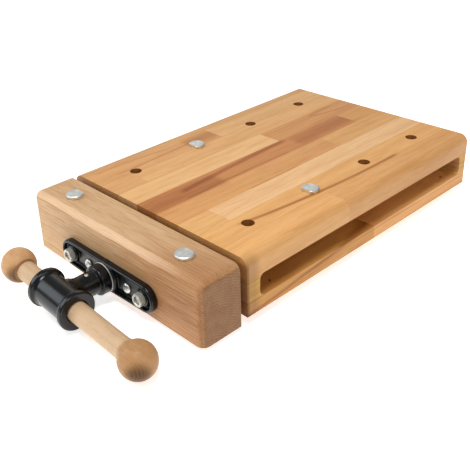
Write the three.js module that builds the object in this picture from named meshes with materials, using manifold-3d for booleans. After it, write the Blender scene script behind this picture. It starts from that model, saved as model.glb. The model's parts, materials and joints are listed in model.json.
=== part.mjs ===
// A bench-top clamping press: a laminated beech bed with one sliding beech jaw, driven by a steel
// screw with a wooden bar handle, and guided by two steel rods. Millimetres, +Z up, Z = 0 on the bench.
import * as THREE from "three";
import { mergeVertices } from "three/addons/utils/BufferGeometryUtils.js";
import Module from "manifold-3d";

const wasm = await Module();
wasm.setup();

// ---------- driving sizes ----------
// X runs from the handle to the far end of the bed, Y across it.
const bed = { length: 550, width: 386, height: 90, edgeRadius: 14 };
const feet = { height: 15, topRadius: 18, bottomRadius: 16, chamfer: 1, endInset: 45, sideInset: 52 };
const jaw = { thickness: 70, drop: 7.5, cornerRadius: 12, restGap: 12.5 };
const pocket = { frontInset: 24.5, backInset: 19, depth: 84, floor: 22, height: 35, cornerRadius: 9 };
const fixing = { radius: 2.75, sideInset: 17.3, frontInset: 61, backInset: 48, perSide: 3 };
const dogHoles = { radius: 9.75, sideInset: 67, frontInset: 72.3, backInset: 70.6, perRow: 4, filled: 1 };
const dog = { headRim: 4.25, headHeight: 5, bevelWidth: 1.8, bevelHeight: 1.2, flatInset: 3.5, rodGap: 1.5 };
const dogSpring = { width: 6, thickness: 0.8, slotDepth: 2.2, endMargin: 5 };
const axis = { height: 37 };
const rods = { spacing: 165.2, rise: 2.5, radius: 8, studRadius: 6, engaged: 205, endChamfer: 2 };
const bush = { wall: 4, length: 40, flangeWidth: 4, flangeThickness: 3 };
const rodWasher = { radius: 15, thickness: 3 };
const rodNut = { acrossFlats: 18, height: 9, recess: 2.5 };
const screw = { radius: 11, grooveDepth: 2.5, socketDepth: 46, endChamfer: 2, engaged: 205 };
const nut = { wall: 4.5, length: 38, plateWidth: 68, plateRim: 1, plateThickness: 6, cornerRadius: 8 };
const nutScrew = { radius: 2.4, headRadius: 4.6, headHeight: 2.6, length: 24, spacing: 50, pointLength: 3 };
const clip = { radius: 19, thickness: 3, grip: 1, gap: 1 };
const flange = { endRadius: 21.5, endLead: 2.9, endRise: 2.8, midRadius: 22, thickness: 10.5 };
const flangeRecess = { rim: 4.2, floor: 4, chamfer: 1.6 };
const flangeHub = { radius: 25, height: 11, chamfer: 2 };
const flangeBoss = { radius: 12.5, height: 8.7 };
const flangeScrew = { spacing: 91, drop: 1, radius: 2.8, headRadius: 8, headHeight: 4.6, length: 42 };
const thrustWasher = { radius: 23, thickness: 1.4 };
const collar = { radius: 22.5, length: 15, chamfer: 2.2 };
const neck = { radius: 17.6, flareRadius: 21.5, flareLength: 12, flareFrom: 0.8, flareStep: 1.2 };
const sleeve = { standoff: 84, halfLength: 40, radius: 24.6, rimRadius: 29, rimWidth: 9, edgeRadius: 2.6 };
const sleeveMouth = { width: 3, depth: 2 };
const headPin = { radius: 2.9, offset: 27, proud: 0.4 };
const handle = { tilt: 3.3, radius: 15, ballRadius: 26.3, ballSpacing: 276, slide: 28.8 };
const handleJoint = { blendRise: 2.4, blendLength: 15, tenonRadius: 10, tenonLength: 24, shoulder: 19 };
const footScrew = { radius: 2.4, headRadius: 5.4, headHeight: 3.4, grip: 6, embedded: 14, pointLength: 3 };

// ---------- clearances ----------
const turnFit = 0.1; // a pin or shaft that turns or slides in a turned bore
const springFit = 0.15; // between a dog's spring and the wall of its hole
const looseFit = 0.4; // a shank through a clearance hole
const dogFit = 0.35; // between a dog's shank and the wall of its hole
const rodRelief = 1; // round a guide rod where the wood doesn't guide it
const screwRelief = 2; // round the lead screw past its nut
const faceGap = 0.3; // between faces that rest on each other
const pinFit = 0.2; // a pin or screw that is driven in
const endRoom = 10; // past the end of a rod or the screw with the jaw closed
const overrun = 1; // how far a cutter runs past the face it cuts

const roundSegments = 40;
const holeSegments = 36;
const footSegments = 24;
const smallSegments = 20;
const screwSegments = 16;
const ballSegments = 32;
const ballSteps = 12; // from a ball's pole to its neck
const blendSteps = 4; // along the hollow between a ball and the bar

// ---------- places worked out from them ----------
const bedBottom = feet.height;
const bedTop = bedBottom + bed.height;
const jawBack = -jaw.restGap;
const jawFront = jawBack - jaw.thickness;
const jawBottom = bedBottom - jaw.drop;
const jawMiddle = (jawBack + jawFront) / 2;
const pocketFloor = bedBottom + pocket.floor;
const rodHeight = axis.height + rods.rise;
const rodSides = { near: -rods.spacing / 2, far: rods.spacing / 2 };
const bushRadius = rods.radius + bush.wall;
const bushFlangeRadius = bushRadius + bush.flangeWidth;
const nutRadius = screw.radius + nut.wall;
const grooveRadius = screw.radius - screw.grooveDepth;
const dogShankRadius = dogHoles.radius - dogFit;
const dogShankLength = bedTop - rodHeight - rods.radius - dog.rodGap;
const dogHeadRadius = dogHoles.radius + dog.headRim;
const dogPitch = (bed.length - dogHoles.frontInset - dogHoles.backInset) / (dogHoles.perRow - 1);
const fixingPitch = (bed.length - fixing.frontInset - fixing.backInset) / (fixing.perSide - 1);
const rowSides = { near: dogHoles.sideInset - bed.width / 2, far: bed.width / 2 - dogHoles.sideInset };
const flangeFace = jawFront - faceGap;
const hubFront = flangeFace - flangeHub.height;
const washerFront = hubFront - faceGap - thrustWasher.thickness;
const collarBack = washerFront - faceGap;
const sleeveX = jawFront - sleeve.standoff;
const screwTip = screw.engaged;
const boreEnd = screwTip + jaw.restGap + endRoom;
const rodTip = rods.engaged;
const rodBoreEnd = rodTip + jaw.restGap + endRoom;
const rodSocketDepth = rodWasher.thickness + 2 * faceGap;
const sleeveBore = handle.radius + looseFit;
const frontEnd = sleeveX - sleeve.rimRadius;

// ---------- materials ----------
function finish(color, roughness, metalness) {
  return new THREE.MeshStandardMaterial({ color, roughness, metalness });
}
const finishes = {
  beech: finish(0xd9a56c, 0.5, 0),
  jawBeech: finish(0xd2a077, 0.5, 0),
  handleBeech: finish(0xd0a071, 0.45, 0),
  castIron: finish(0x151617, 0.32, 0.2),
  zinc: finish(0xc6c8c8, 0.3, 0.9),
  steel: finish(0x9a9c9e, 0.35, 0.9),
  springSteel: finish(0x6d7075, 0.35, 0.9),
  bushing: finish(0x2b2c2e, 0.5, 0),
  rubber: finish(0x232323, 0.8, 0),
};

// ---------- solids ----------
// The closed manifold-3d solid of a three.js geometry, facing out.
function solid(geometry, placement = new THREE.Matrix4()) {
  const triangles = geometry.index ? geometry.toNonIndexed() : geometry;
  const bare = new THREE.BufferGeometry();
  bare.setAttribute("position", triangles.getAttribute("position").clone());
  bare.applyMatrix4(placement);
  const merged = mergeVertices(bare, 1e-4);
  const corners = merged.index.array;
  const kept = [];
  for (let i = 0; i < corners.length; i += 3) {
    const [a, b, c] = [corners[i], corners[i + 1], corners[i + 2]];
    if (a !== b && b !== c && c !== a) kept.push(a, b, c);
  }
  const build = (triVerts) =>
    new wasm.Manifold(
      new wasm.Mesh({
        numProp: 3,
        vertProperties: merged.attributes.position.array,
        triVerts: new Uint32Array(triVerts),
      }),
    );
  const made = build(kept);
  return made.volume() < 0 ? build(kept.reverse()) : made;
}

function join(...solids) {
  return solids.reduce((whole, next) => whole.add(next));
}

function cut(whole, ...tools) {
  return tools.reduce((left, tool) => left.subtract(tool), whole);
}

// Axes for shapes drawn flat: the first two arguments are where the shape's own x and y go.
const basis = (x, y, z) => new THREE.Matrix4().makeBasis(x, y, z);
const unitX = new THREE.Vector3(1, 0, 0);
const unitY = new THREE.Vector3(0, 1, 0);
const unitZ = new THREE.Vector3(0, 0, 1);
const facing = {
  x: basis(unitY, unitZ, unitX),
  y: basis(unitZ, unitX, unitY),
  z: basis(unitX, unitY, unitZ),
};

// A flat shape pushed along an axis from `start` for `length`.
function extrude(shape, along, start, length, curveSegments = 10) {
  const geometry = new THREE.ExtrudeGeometry(shape, { depth: length, bevelEnabled: false, curveSegments });
  geometry.translate(0, 0, start);
  return solid(geometry, facing[along]);
}

// A profile of [radius, distance] pairs turned about an axis through `at`.
function turn(profile, along, at = [0, 0, 0], segments = roundSegments) {
  const points = profile.map(([radius, distance]) => new THREE.Vector2(radius, distance));
  const geometry = new THREE.LatheGeometry(points, segments);
  geometry.rotateX(Math.PI / 2);
  const placement = new THREE.Matrix4().makeTranslation(...at).multiply(facing[along]);
  return solid(geometry, placement);
}

// A round bar about an axis through `at`, from `start` to `end` along it.
function bar(radius, along, start, end, at = [0, 0, 0], segments = roundSegments) {
  const profile = [
    [0, start],
    [radius, start],
    [radius, end],
    [0, end],
  ];
  return turn(profile, along, at, segments);
}

// A round bar with both ends chamfered.
function chamferedBar(radius, chamfer, along, start, end, at, segments = roundSegments) {
  const profile = [
    [0, start],
    [radius - chamfer, start],
    [radius, start + chamfer],
    [radius, end - chamfer],
    [radius - chamfer, end],
    [0, end],
  ];
  return turn(profile, along, at, segments);
}

// A rectangle with its own radius at each corner: [low x low y, high x low y, high x high y, low x high y].
function roundedRectangle(lowX, lowY, highX, highY, [r0, r1, r2, r3]) {
  const shape = new THREE.Shape();
  shape.moveTo(lowX + r0, lowY);
  shape.lineTo(highX - r1, lowY);
  if (r1) shape.absarc(highX - r1, lowY + r1, r1, -Math.PI / 2, 0);
  shape.lineTo(highX, highY - r2);
  if (r2) shape.absarc(highX - r2, highY - r2, r2, 0, Math.PI / 2);
  shape.lineTo(lowX + r3, highY);
  if (r3) shape.absarc(lowX + r3, highY - r3, r3, Math.PI / 2, Math.PI);
  shape.lineTo(lowX, lowY + r0);
  if (r0) shape.absarc(lowX + r0, lowY + r0, r0, Math.PI, 1.5 * Math.PI);
  return shape;
}

// A named mesh added to the group it is placed in.
function addPiece(group, name, piece, material) {
  const made = piece.getMesh();
  const positions = new Float32Array(made.numVert * 3);
  for (let i = 0; i < made.numVert; i++) {
    positions.set(made.vertProperties.subarray(i * made.numProp, i * made.numProp + 3), i * 3);
  }
  const geometry = new THREE.BufferGeometry();
  geometry.setAttribute("position", new THREE.BufferAttribute(positions, 3));
  geometry.setIndex(new THREE.BufferAttribute(made.triVerts, 1));
  const flat = geometry.toNonIndexed();
  flat.computeVertexNormals();
  const mesh = new THREE.Mesh(flat, material.clone());
  mesh.name = name;
  group.add(mesh);
  return mesh;
}

// ---------- bed ----------
function bedBlank() {
  const half = bed.width / 2;
  const section = roundedRectangle(-half, bedBottom, half, bedTop, [0, 0, bed.edgeRadius, bed.edgeRadius]);
  return extrude(section, "x", 0, bed.length);
}

function pocketCutter(side) {
  const r = pocket.cornerRadius;
  const top = pocketFloor + pocket.height;
  const back = bed.length - pocket.backInset;
  const opening = roundedRectangle(pocketFloor, pocket.frontInset, top, back, [r, r, r, r]);
  const start = side < 0 ? -bed.width / 2 - overrun : bed.width / 2 - pocket.depth;
  return extrude(opening, "y", start, pocket.depth + overrun);
}

function dogHoleCutters(side) {
  const lipBottom = pocketFloor + pocket.height;
  const cutters = [];
  for (let i = 0; i < dogHoles.perRow; i++) {
    const at = [dogHoles.frontInset + i * dogPitch, side, 0];
    cutters.push(bar(dogHoles.radius, "z", lipBottom - overrun, bedTop + overrun, at, holeSegments));
  }
  return cutters;
}

function fixingCutters(side) {
  const y = Math.sign(side) * (bed.width / 2 - fixing.sideInset);
  const cutters = [];
  for (let i = 0; i < fixing.perSide; i++) {
    const at = [fixing.frontInset + i * fixingPitch, y, 0];
    cutters.push(bar(fixing.radius, "z", bedBottom - overrun, pocketFloor + overrun, at, screwSegments));
  }
  return cutters;
}

function footPlaces() {
  const y = bed.width / 2 - feet.sideInset;
  return {
    front_near: [feet.endInset, -y],
    front_far: [feet.endInset, y],
    back_near: [bed.length - feet.endInset, -y],
    back_far: [bed.length - feet.endInset, y],
  };
}

function addBedBlock(group) {
  const cutters = [];
  for (const side of Object.values(rowSides)) {
    cutters.push(pocketCutter(side), ...dogHoleCutters(side), ...fixingCutters(side));
  }
  const centre = [0, 0, axis.height];
  cutters.push(
    bar(screw.radius + screwRelief, "x", -overrun, boreEnd, centre),
    bar(nutRadius + pinFit, "x", -overrun, nut.length + faceGap, centre),
    nutPlate(faceGap, -overrun, nut.plateThickness + 2 * faceGap + overrun),
  );
  for (const y of Object.values(rodSides)) {
    const at = [0, y, rodHeight];
    cutters.push(
      bar(rods.radius + rodRelief, "x", -overrun, rodBoreEnd, at),
      bar(bushRadius + pinFit, "x", -overrun, bush.length + faceGap, at),
      bar(bushFlangeRadius + faceGap, "x", -overrun, bush.flangeThickness + 2 * faceGap, at),
    );
  }
  for (const y of nutScrewSides()) {
    const tip = nutScrew.length + faceGap;
    cutters.push(bar(nutScrew.radius + pinFit, "x", -overrun, tip, [0, y, axis.height], screwSegments));
  }
  for (const [x, y] of Object.values(footPlaces())) {
    const tip = bedBottom + footScrew.embedded + faceGap;
    cutters.push(bar(footScrew.radius + pinFit, "z", bedBottom - overrun, tip, [x, y, 0], screwSegments));
  }
  addPiece(group, "bed_block", cut(bedBlank(), ...cutters), finishes.beech);
}

function nutScrewSides() {
  return [-nutScrew.spacing / 2, nutScrew.spacing / 2];
}

// The nut's oblong plate, grown all round by `margin`.
function nutPlate(margin, start, length) {
  const halfWidth = nut.plateWidth / 2 + margin;
  const halfHeight = nutRadius + nut.plateRim + margin;
  const r = nut.cornerRadius + margin;
  const low = axis.height - halfHeight;
  const high = axis.height + halfHeight;
  return extrude(roundedRectangle(-halfWidth, low, halfWidth, high, [r, r, r, r]), "x", start, length);
}

function addScrewNut(group) {
  const centre = [0, 0, axis.height];
  const plateBack = faceGap + nut.plateThickness;
  const barrel = bar(nutRadius, "x", plateBack - overrun, nut.length, centre);
  const bore = bar(screw.radius + turnFit, "x", -overrun, nut.length + overrun, centre);
  const headSeat = nutScrew.headHeight + 2 * faceGap;
  const holes = nutScrewSides().map((y) => {
    const at = [0, y, axis.height];
    const shank = bar(nutScrew.radius + pinFit, "x", -overrun, plateBack + overrun, at, screwSegments);
    const head = bar(nutScrew.headRadius + pinFit, "x", -overrun, headSeat, at, smallSegments);
    return join(shank, head);
  });
  const whole = join(nutPlate(0, faceGap, nut.plateThickness), barrel);
  addPiece(group, "screw_nut", cut(whole, bore, ...holes), finishes.steel);
  for (const [i, y] of nutScrewSides().entries()) {
    const head = faceGap + nutScrew.headHeight;
    const profileOfScrew = [
      [0, faceGap],
      [nutScrew.headRadius, faceGap],
      [nutScrew.headRadius, head],
      [nutScrew.radius, head],
      [nutScrew.radius, nutScrew.length - nutScrew.pointLength],
      [0, nutScrew.length],
    ];
    const piece = turn(profileOfScrew, "x", [0, y, axis.height], screwSegments);
    addPiece(group, i ? "nut_screw_far" : "nut_screw_near", piece, finishes.zinc);
  }
}

function addGuideBushes(group) {
  const bore = rods.radius + turnFit;
  const flangeBack = faceGap + bush.flangeThickness;
  const profile = [
    [bore, faceGap],
    [bushFlangeRadius, faceGap],
    [bushFlangeRadius, flangeBack],
    [bushRadius, flangeBack],
    [bushRadius, bush.length],
    [bore, bush.length],
    [bore, faceGap],
  ];
  for (const [side, y] of Object.entries(rodSides)) {
    addPiece(group, `guide_bush_${side}`, turn(profile, "x", [0, y, rodHeight]), finishes.bushing);
  }
}

function addFeet(group) {
  const hole = footScrew.radius + pinFit;
  const well = footScrew.headRadius + looseFit;
  const seat = feet.height - faceGap - footScrew.grip;
  const profile = [
    [well, 0],
    [feet.bottomRadius - feet.chamfer, 0],
    [feet.bottomRadius, feet.chamfer],
    [feet.topRadius, feet.height - faceGap],
    [hole, feet.height - faceGap],
    [hole, seat],
    [well, seat],
    [well, 0],
  ];
  const headTop = seat - faceGap;
  const screwProfile = [
    [0, headTop - footScrew.headHeight],
    [footScrew.headRadius - feet.chamfer, headTop - footScrew.headHeight],
    [footScrew.headRadius, headTop - footScrew.headHeight + feet.chamfer],
    [footScrew.headRadius, headTop],
    [footScrew.radius, headTop],
    [footScrew.radius, bedBottom + footScrew.embedded - footScrew.pointLength],
    [0, bedBottom + footScrew.embedded],
  ];
  for (const [place, [x, y]] of Object.entries(footPlaces())) {
    addPiece(group, `foot_${place}`, turn(profile, "z", [x, y, 0], footSegments), finishes.rubber);
    addPiece(group, `foot_screw_${place}`, turn(screwProfile, "z", [x, y, 0], screwSegments), finishes.zinc);
  }
}

// ---------- dogs ----------
// A round steel peg with a flat on its working side and a bowed leaf spring let into its shank.
function addDog(group, name, x, y, workingSide) {
  const dogGroup = new THREE.Group();
  dogGroup.position.set(x, y, bedTop);
  const top = faceGap + dog.headHeight;
  const profile = [
    [0, -dogShankLength],
    [dogShankRadius - dog.bevelWidth, -dogShankLength],
    [dogShankRadius, -dogShankLength + dog.bevelWidth],
    [dogShankRadius, faceGap],
    [dogHeadRadius, faceGap],
    [dogHeadRadius, top - dog.bevelHeight],
    [dogHeadRadius - dog.bevelWidth, top],
    [0, top],
  ];
  const flatX = workingSide * (dogHeadRadius - dog.flatInset);
  const reach = 2 * dogHeadRadius;
  const farX = workingSide * reach;
  const chip = roundedRectangle(Math.min(flatX, farX), -reach, Math.max(flatX, farX), reach, [0, 0, 0, 0]);
  const slotTop = -dogSpring.endMargin;
  const slotBottom = -dogShankLength + dogSpring.endMargin;
  const slotFloor = dogShankRadius - dogSpring.slotDepth;
  const halfSlot = dogSpring.width / 2 + pinFit;
  const slotShape = roundedRectangle(-halfSlot, -reach, halfSlot, -slotFloor, [0, 0, 0, 0]);
  const peg = cut(
    turn(profile, "z"),
    extrude(chip, "z", faceGap / 2, dog.headHeight + overrun),
    extrude(slotShape, "z", slotBottom, slotTop - slotBottom),
  );
  addPiece(dogGroup, name, peg, finishes.zinc);
  addPiece(dogGroup, `${name}_spring`, leafSpring(slotBottom, slotTop, slotFloor), finishes.springSteel);
  group.add(dogGroup);
}

// A thin strip, bowed outwards at its middle, standing in a slot from `bottom` to `top`.
function leafSpring(bottom, top, slotFloor) {
  const start = bottom + faceGap;
  const length = top - bottom - 2 * faceGap;
  const inner = slotFloor + faceGap;
  const reach = Math.sqrt((dogHoles.radius - springFit) ** 2 - (dogSpring.width / 2) ** 2);
  const bow = reach - dogSpring.thickness - inner;
  const steps = 8;
  const outline = [];
  for (let i = 0; i <= steps; i++) {
    const share = i / steps;
    outline.push([start + share * length, inner + bow * Math.sin(Math.PI * share)]);
  }
  const shape = new THREE.Shape();
  outline.forEach(([z, out], i) => (i ? shape.lineTo(z, -out) : shape.moveTo(z, -out)));
  for (const [z, out] of outline.slice().reverse()) shape.lineTo(z, -out - dogSpring.thickness);
  const strip = new THREE.ExtrudeGeometry(shape, { depth: dogSpring.width, bevelEnabled: false });
  strip.translate(0, 0, -dogSpring.width / 2);
  return solid(strip, basis(unitZ, unitY, unitX.clone().negate()));
}

function addBedDogs(group) {
  const x = dogHoles.frontInset + dogHoles.filled * dogPitch;
  for (const [side, y] of Object.entries(rowSides)) {
    addDog(group, `bed_dog_${side}`, x, y, -1);
  }
}

function addJawDogs(group) {
  for (const [side, y] of Object.entries(rowSides)) {
    addDog(group, `jaw_dog_${side}`, jawMiddle, y, 1);
  }
}

// ---------- jaw ----------
function jawBlank() {
  const half = bed.width / 2;
  const r = jaw.cornerRadius;
  const plan = roundedRectangle(jawFront, -half, jawBack, half, [r, 0, 0, r]);
  const frontView = roundedRectangle(-half, jawBottom, half, bedTop, [0, 0, r, r]);
  const sideView = roundedRectangle(jawBottom, jawFront, bedTop, jawBack, [0, r, 0, 0]);
  const upright = extrude(plan, "z", jawBottom, bedTop - jawBottom, 6);
  const across = extrude(sideView, "y", -half, bed.width, 6);
  const along = extrude(frontView, "x", jawFront, jaw.thickness, 6);
  return upright.intersect(across).intersect(along);
}

function addJawBlock(group) {
  const front = jawFront - overrun;
  const back = jawBack + overrun;
  const centre = [0, 0, axis.height];
  const cutters = [
    bar(screw.radius + rodRelief, "x", front, back, centre),
    bar(clip.radius + clip.gap, "x", jawBack - clipDepth(), back, centre),
  ];
  for (const y of Object.values(rowSides)) {
    const at = [jawMiddle, y, 0];
    cutters.push(bar(dogHoles.radius, "z", jawBottom - overrun, bedTop + overrun, at, holeSegments));
  }
  for (const y of Object.values(rodSides)) {
    const at = [0, y, rodHeight];
    cutters.push(
      bar(rods.studRadius + looseFit, "x", front, back, at, holeSegments),
      bar(rodWasher.radius + looseFit, "x", jawBack - rodSocketDepth, back, at),
    );
  }
  for (const y of flangeScrewSides()) {
    const at = [0, y, axis.height - flangeScrew.drop];
    const tip = jawFront + flangeScrew.length;
    cutters.push(bar(flangeScrew.radius + pinFit, "x", front, tip, at, screwSegments));
  }
  addPiece(group, "jaw_block", cut(jawBlank(), ...cutters), finishes.jawBeech);
}

function clipDepth() {
  return clip.thickness + 2 * clip.gap;
}

function flangeScrewSides() {
  return [-flangeScrew.spacing / 2, flangeScrew.spacing / 2];
}

// The outline of the casting: a round middle and two rounded ends, joined by their outer tangents.
function flangePlate(inset, start, length) {
  const endOffset = rods.spacing / 2 + flange.endLead;
  const discs = [
    [-endOffset, flange.endRise, flange.endRadius - inset],
    [0, 0, flange.midRadius - inset],
    [endOffset, flange.endRise, flange.endRadius - inset],
  ].map(([y, z, radius]) => bar(radius, "x", start, start + length, [0, y, axis.height + z], holeSegments));
  return wasm.Manifold.hull(discs);
}

function addJawFlange(group) {
  const front = flangeFace - flange.thickness;
  const bodyLength = flange.thickness - flangeRecess.chamfer;
  const draft = wasm.Manifold.hull([
    flangePlate(0, flangeFace - bodyLength, bodyLength),
    flangePlate(flangeRecess.chamfer, front, flange.thickness),
  ]);
  const recessDepth = flange.thickness - flangeRecess.floor;
  const recess = flangePlate(flangeRecess.rim, front - overrun, recessDepth + overrun);
  const bossFront = flangeFace - flangeBoss.height;
  const bosses = Object.values(rodSides).map((y) =>
    bar(flangeBoss.radius, "x", bossFront, flangeFace - faceGap, [0, y, rodHeight], holeSegments),
  );
  const hubProfile = [
    [0, hubFront],
    [flangeHub.radius - flangeHub.chamfer, hubFront],
    [flangeHub.radius, hubFront + flangeHub.chamfer],
    [flangeHub.radius, flangeFace],
    [0, flangeFace],
  ];
  const hub = turn(hubProfile, "x", [0, 0, axis.height]);
  const far = flangeFace + overrun;
  const holes = [bar(screw.radius + looseFit, "x", hubFront - overrun, far, [0, 0, axis.height])];
  for (const y of Object.values(rodSides)) {
    holes.push(bar(rods.studRadius + looseFit, "x", front - overrun, far, [0, y, rodHeight], holeSegments));
  }
  for (const y of flangeScrewSides()) {
    const at = [0, y, axis.height - flangeScrew.drop];
    holes.push(bar(flangeScrew.radius + looseFit, "x", front - overrun, far, at, screwSegments));
  }
  addPiece(group, "jaw_flange", cut(join(cut(draft, recess), ...bosses, hub), ...holes), finishes.castIron);
}

function addFlangeScrews(group) {
  const seat = flangeFace - flangeRecess.floor - faceGap;
  const tip = jawFront + flangeScrew.length - faceGap;
  const domeSteps = 4;
  const dome = [];
  for (let i = 0; i <= domeSteps; i++) {
    const angle = (i / domeSteps) * (Math.PI / 2);
    dome.push([flangeScrew.headRadius * Math.sin(angle), seat - flangeScrew.headHeight * Math.cos(angle)]);
  }
  dome[0][0] = 0;
  const profile = [
    ...dome.slice(0, domeSteps),
    [flangeScrew.headRadius, seat - faceGap],
    [flangeScrew.headRadius, seat],
    [flangeScrew.radius, seat],
    [flangeScrew.radius, tip - flangeScrew.headHeight],
    [0, tip],
  ];
  const [near, far] = flangeScrewSides();
  for (const [side, y] of Object.entries({ near, far })) {
    const at = [0, y, axis.height - flangeScrew.drop];
    addPiece(group, `flange_screw_${side}`, turn(profile, "x", at, smallSegments), finishes.zinc);
  }
}

// A guide rod: a stud through the jaw and the flange, then the full rod from the jaw's back face on.
function addGuideRods(group) {
  const studEnd = flangeFace - flangeBoss.height - faceGap - rodNut.height + rodNut.recess;
  const shoulder = jawBack - faceGap;
  const studChamfer = rods.endChamfer / 2;
  const profile = [
    [0, studEnd],
    [rods.studRadius - studChamfer, studEnd],
    [rods.studRadius, studEnd + studChamfer],
    [rods.studRadius, shoulder],
    [rods.radius, shoulder],
    [rods.radius, rodTip - rods.endChamfer],
    [rods.radius - rods.endChamfer, rodTip],
    [0, rodTip],
  ];
  for (const [side, y] of Object.entries(rodSides)) {
    addPiece(group, `guide_rod_${side}`, turn(profile, "x", [0, y, rodHeight]), finishes.steel);
  }
}

function addRodWashers(group) {
  const back = jawBack - 2 * faceGap;
  const front = back - rodWasher.thickness;
  const bore = rods.studRadius + pinFit;
  const profile = [
    [bore, front],
    [rodWasher.radius, front],
    [rodWasher.radius, back],
    [bore, back],
    [bore, front],
  ];
  for (const [side, y] of Object.entries(rodSides)) {
    addPiece(group, `rod_washer_${side}`, turn(profile, "x", [0, y, rodHeight], holeSegments), finishes.zinc);
  }
}

// A hexagon nut with both faces turned off to a cone.
function addRodNuts(group) {
  const back = flangeFace - flangeBoss.height - faceGap;
  const front = back - rodNut.height;
  const cornerRadius = rodNut.acrossFlats / 2 / Math.cos(Math.PI / 6);
  const chamfer = cornerRadius - rodNut.acrossFlats / 2;
  for (const [side, y] of Object.entries(rodSides)) {
    const at = [0, y, rodHeight];
    const hexagon = bar(cornerRadius, "x", front, back, at, 6);
    const cones = chamferedBar(cornerRadius, chamfer, "x", front, back, at, holeSegments);
    const bore = bar(rods.studRadius + pinFit, "x", front - overrun, back + overrun, at, holeSegments);
    addPiece(group, `rod_nut_${side}`, cut(hexagon.intersect(cones), bore), finishes.zinc);
  }
}

function addThrustWasher(group) {
  const bore = screw.radius + looseFit;
  const back = washerFront + thrustWasher.thickness;
  const profile = [
    [bore, washerFront],
    [thrustWasher.radius, washerFront],
    [thrustWasher.radius, back],
    [bore, back],
    [bore, washerFront],
  ];
  addPiece(group, "thrust_washer", turn(profile, "x", [0, 0, axis.height]), finishes.zinc);
}

// ---------- screw ----------
// Everything in the screw's group is drawn about the screw's own axis, X.
function screwSocketEnd() {
  return collarBack - screw.socketDepth;
}

function addLeadScrew(group) {
  const grooveBack = jawBack - clip.gap + pinFit;
  const grooveFront = grooveBack - clip.thickness - 2 * pinFit;
  const profile = [
    [0, screwSocketEnd() + faceGap],
    [screw.radius - screw.endChamfer, screwSocketEnd() + faceGap],
    [screw.radius, screwSocketEnd() + faceGap + screw.endChamfer],
    [screw.radius, grooveFront],
    [grooveRadius, grooveFront],
    [grooveRadius, grooveBack],
    [screw.radius, grooveBack],
    [screw.radius, screwTip - screw.endChamfer],
    [screw.radius - screw.endChamfer, screwTip],
    [0, screwTip],
  ];
  addPiece(group, "lead_screw", cut(turn(profile, "x"), pinHole(pinFit)), finishes.steel);
}

// A U-shaped clip pushed into the screw's groove, behind the jaw.
function addRetainingClip(group) {
  const start = jawBack - clip.gap - clip.thickness;
  const disc = bar(clip.radius, "x", start, start + clip.thickness);
  const grip = bar(grooveRadius + pinFit, "x", start - overrun, start + clip.thickness + overrun);
  const half = grooveRadius - clip.grip;
  const mouth = roundedRectangle(-half, -clip.radius - overrun, half, 0, [0, 0, 0, 0]);
  const slot = extrude(mouth, "x", start - overrun, clip.thickness + 2 * overrun);
  addPiece(group, "retaining_clip", cut(disc, grip, slot), finishes.springSteel);
}

function pinHole(clearance) {
  const reach = neck.radius + headPin.proud + overrun;
  const at = [collarBack - headPin.offset, 0, 0];
  return bar(headPin.radius + clearance, "z", -reach, reach, at, footSegments);
}

function collarAndNeck() {
  const collarFront = collarBack - collar.length;
  const flareStart = sleeveX + sleeve.radius * neck.flareFrom;
  const profile = [
    [0, sleeveX],
    [neck.flareRadius, sleeveX],
    [neck.flareRadius, flareStart],
    [neck.radius + neck.flareStep, flareStart + neck.flareLength / 2],
    [neck.radius, flareStart + neck.flareLength],
    [neck.radius, collarFront],
    [collar.radius - collar.chamfer, collarFront],
    [collar.radius, collarFront + collar.chamfer],
    [collar.radius, collarBack],
    [0, collarBack],
  ];
  return turn(profile, "x");
}

// The cross sleeve's half outline, from its middle to one end, with a rounded rim.
function sleeveOutline() {
  const end = sleeve.halfLength;
  const rimStart = end - sleeve.rimWidth;
  const r = sleeve.edgeRadius;
  const corner = r * (1 - Math.SQRT1_2);
  return [
    [sleeve.radius, rimStart - 2 * r],
    [sleeve.radius + r - corner, rimStart - corner],
    [sleeve.rimRadius - r, rimStart],
    [sleeve.rimRadius - corner, rimStart + corner],
    [sleeve.rimRadius, rimStart + r],
    [sleeve.rimRadius, end - r],
    [sleeve.rimRadius - corner, end - corner],
    [sleeve.rimRadius - r, end],
  ];
}

function sleeveBody(x) {
  const half = sleeveOutline();
  const mirrored = half.map(([radius, distance]) => [radius, -distance]).reverse();
  const profile = [[0, -sleeve.halfLength], ...mirrored, ...half, [0, sleeve.halfLength]];
  return turn(profile, "y", [x, 0, 0]);
}

function sleeveBoreCutter(x) {
  const end = sleeve.halfLength;
  const mouth = sleeveBore + sleeveMouth.width;
  const profile = [
    [0, -end - overrun],
    [mouth, -end - overrun],
    [sleeveBore, -end + sleeveMouth.depth],
    [sleeveBore, end - sleeveMouth.depth],
    [mouth, end + overrun],
    [0, end + overrun],
  ];
  return turn(profile, "y", [x, 0, 0]);
}

function addScrewHead(group) {
  const socket = bar(screw.radius + pinFit, "x", screwSocketEnd(), collarBack + overrun);
  const whole = join(collarAndNeck(), sleeveBody(sleeveX));
  const head = cut(whole, socket, sleeveBoreCutter(sleeveX), pinHole(pinFit));
  addPiece(group, "screw_head", head, finishes.castIron);
}

function addHeadPin(group) {
  const reach = neck.radius + headPin.proud;
  const at = [collarBack - headPin.offset, 0, 0];
  const pin = chamferedBar(headPin.radius, headPin.proud, "z", -reach, reach, at, footSegments);
  addPiece(group, "head_pin", pin, finishes.zinc);
}

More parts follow.
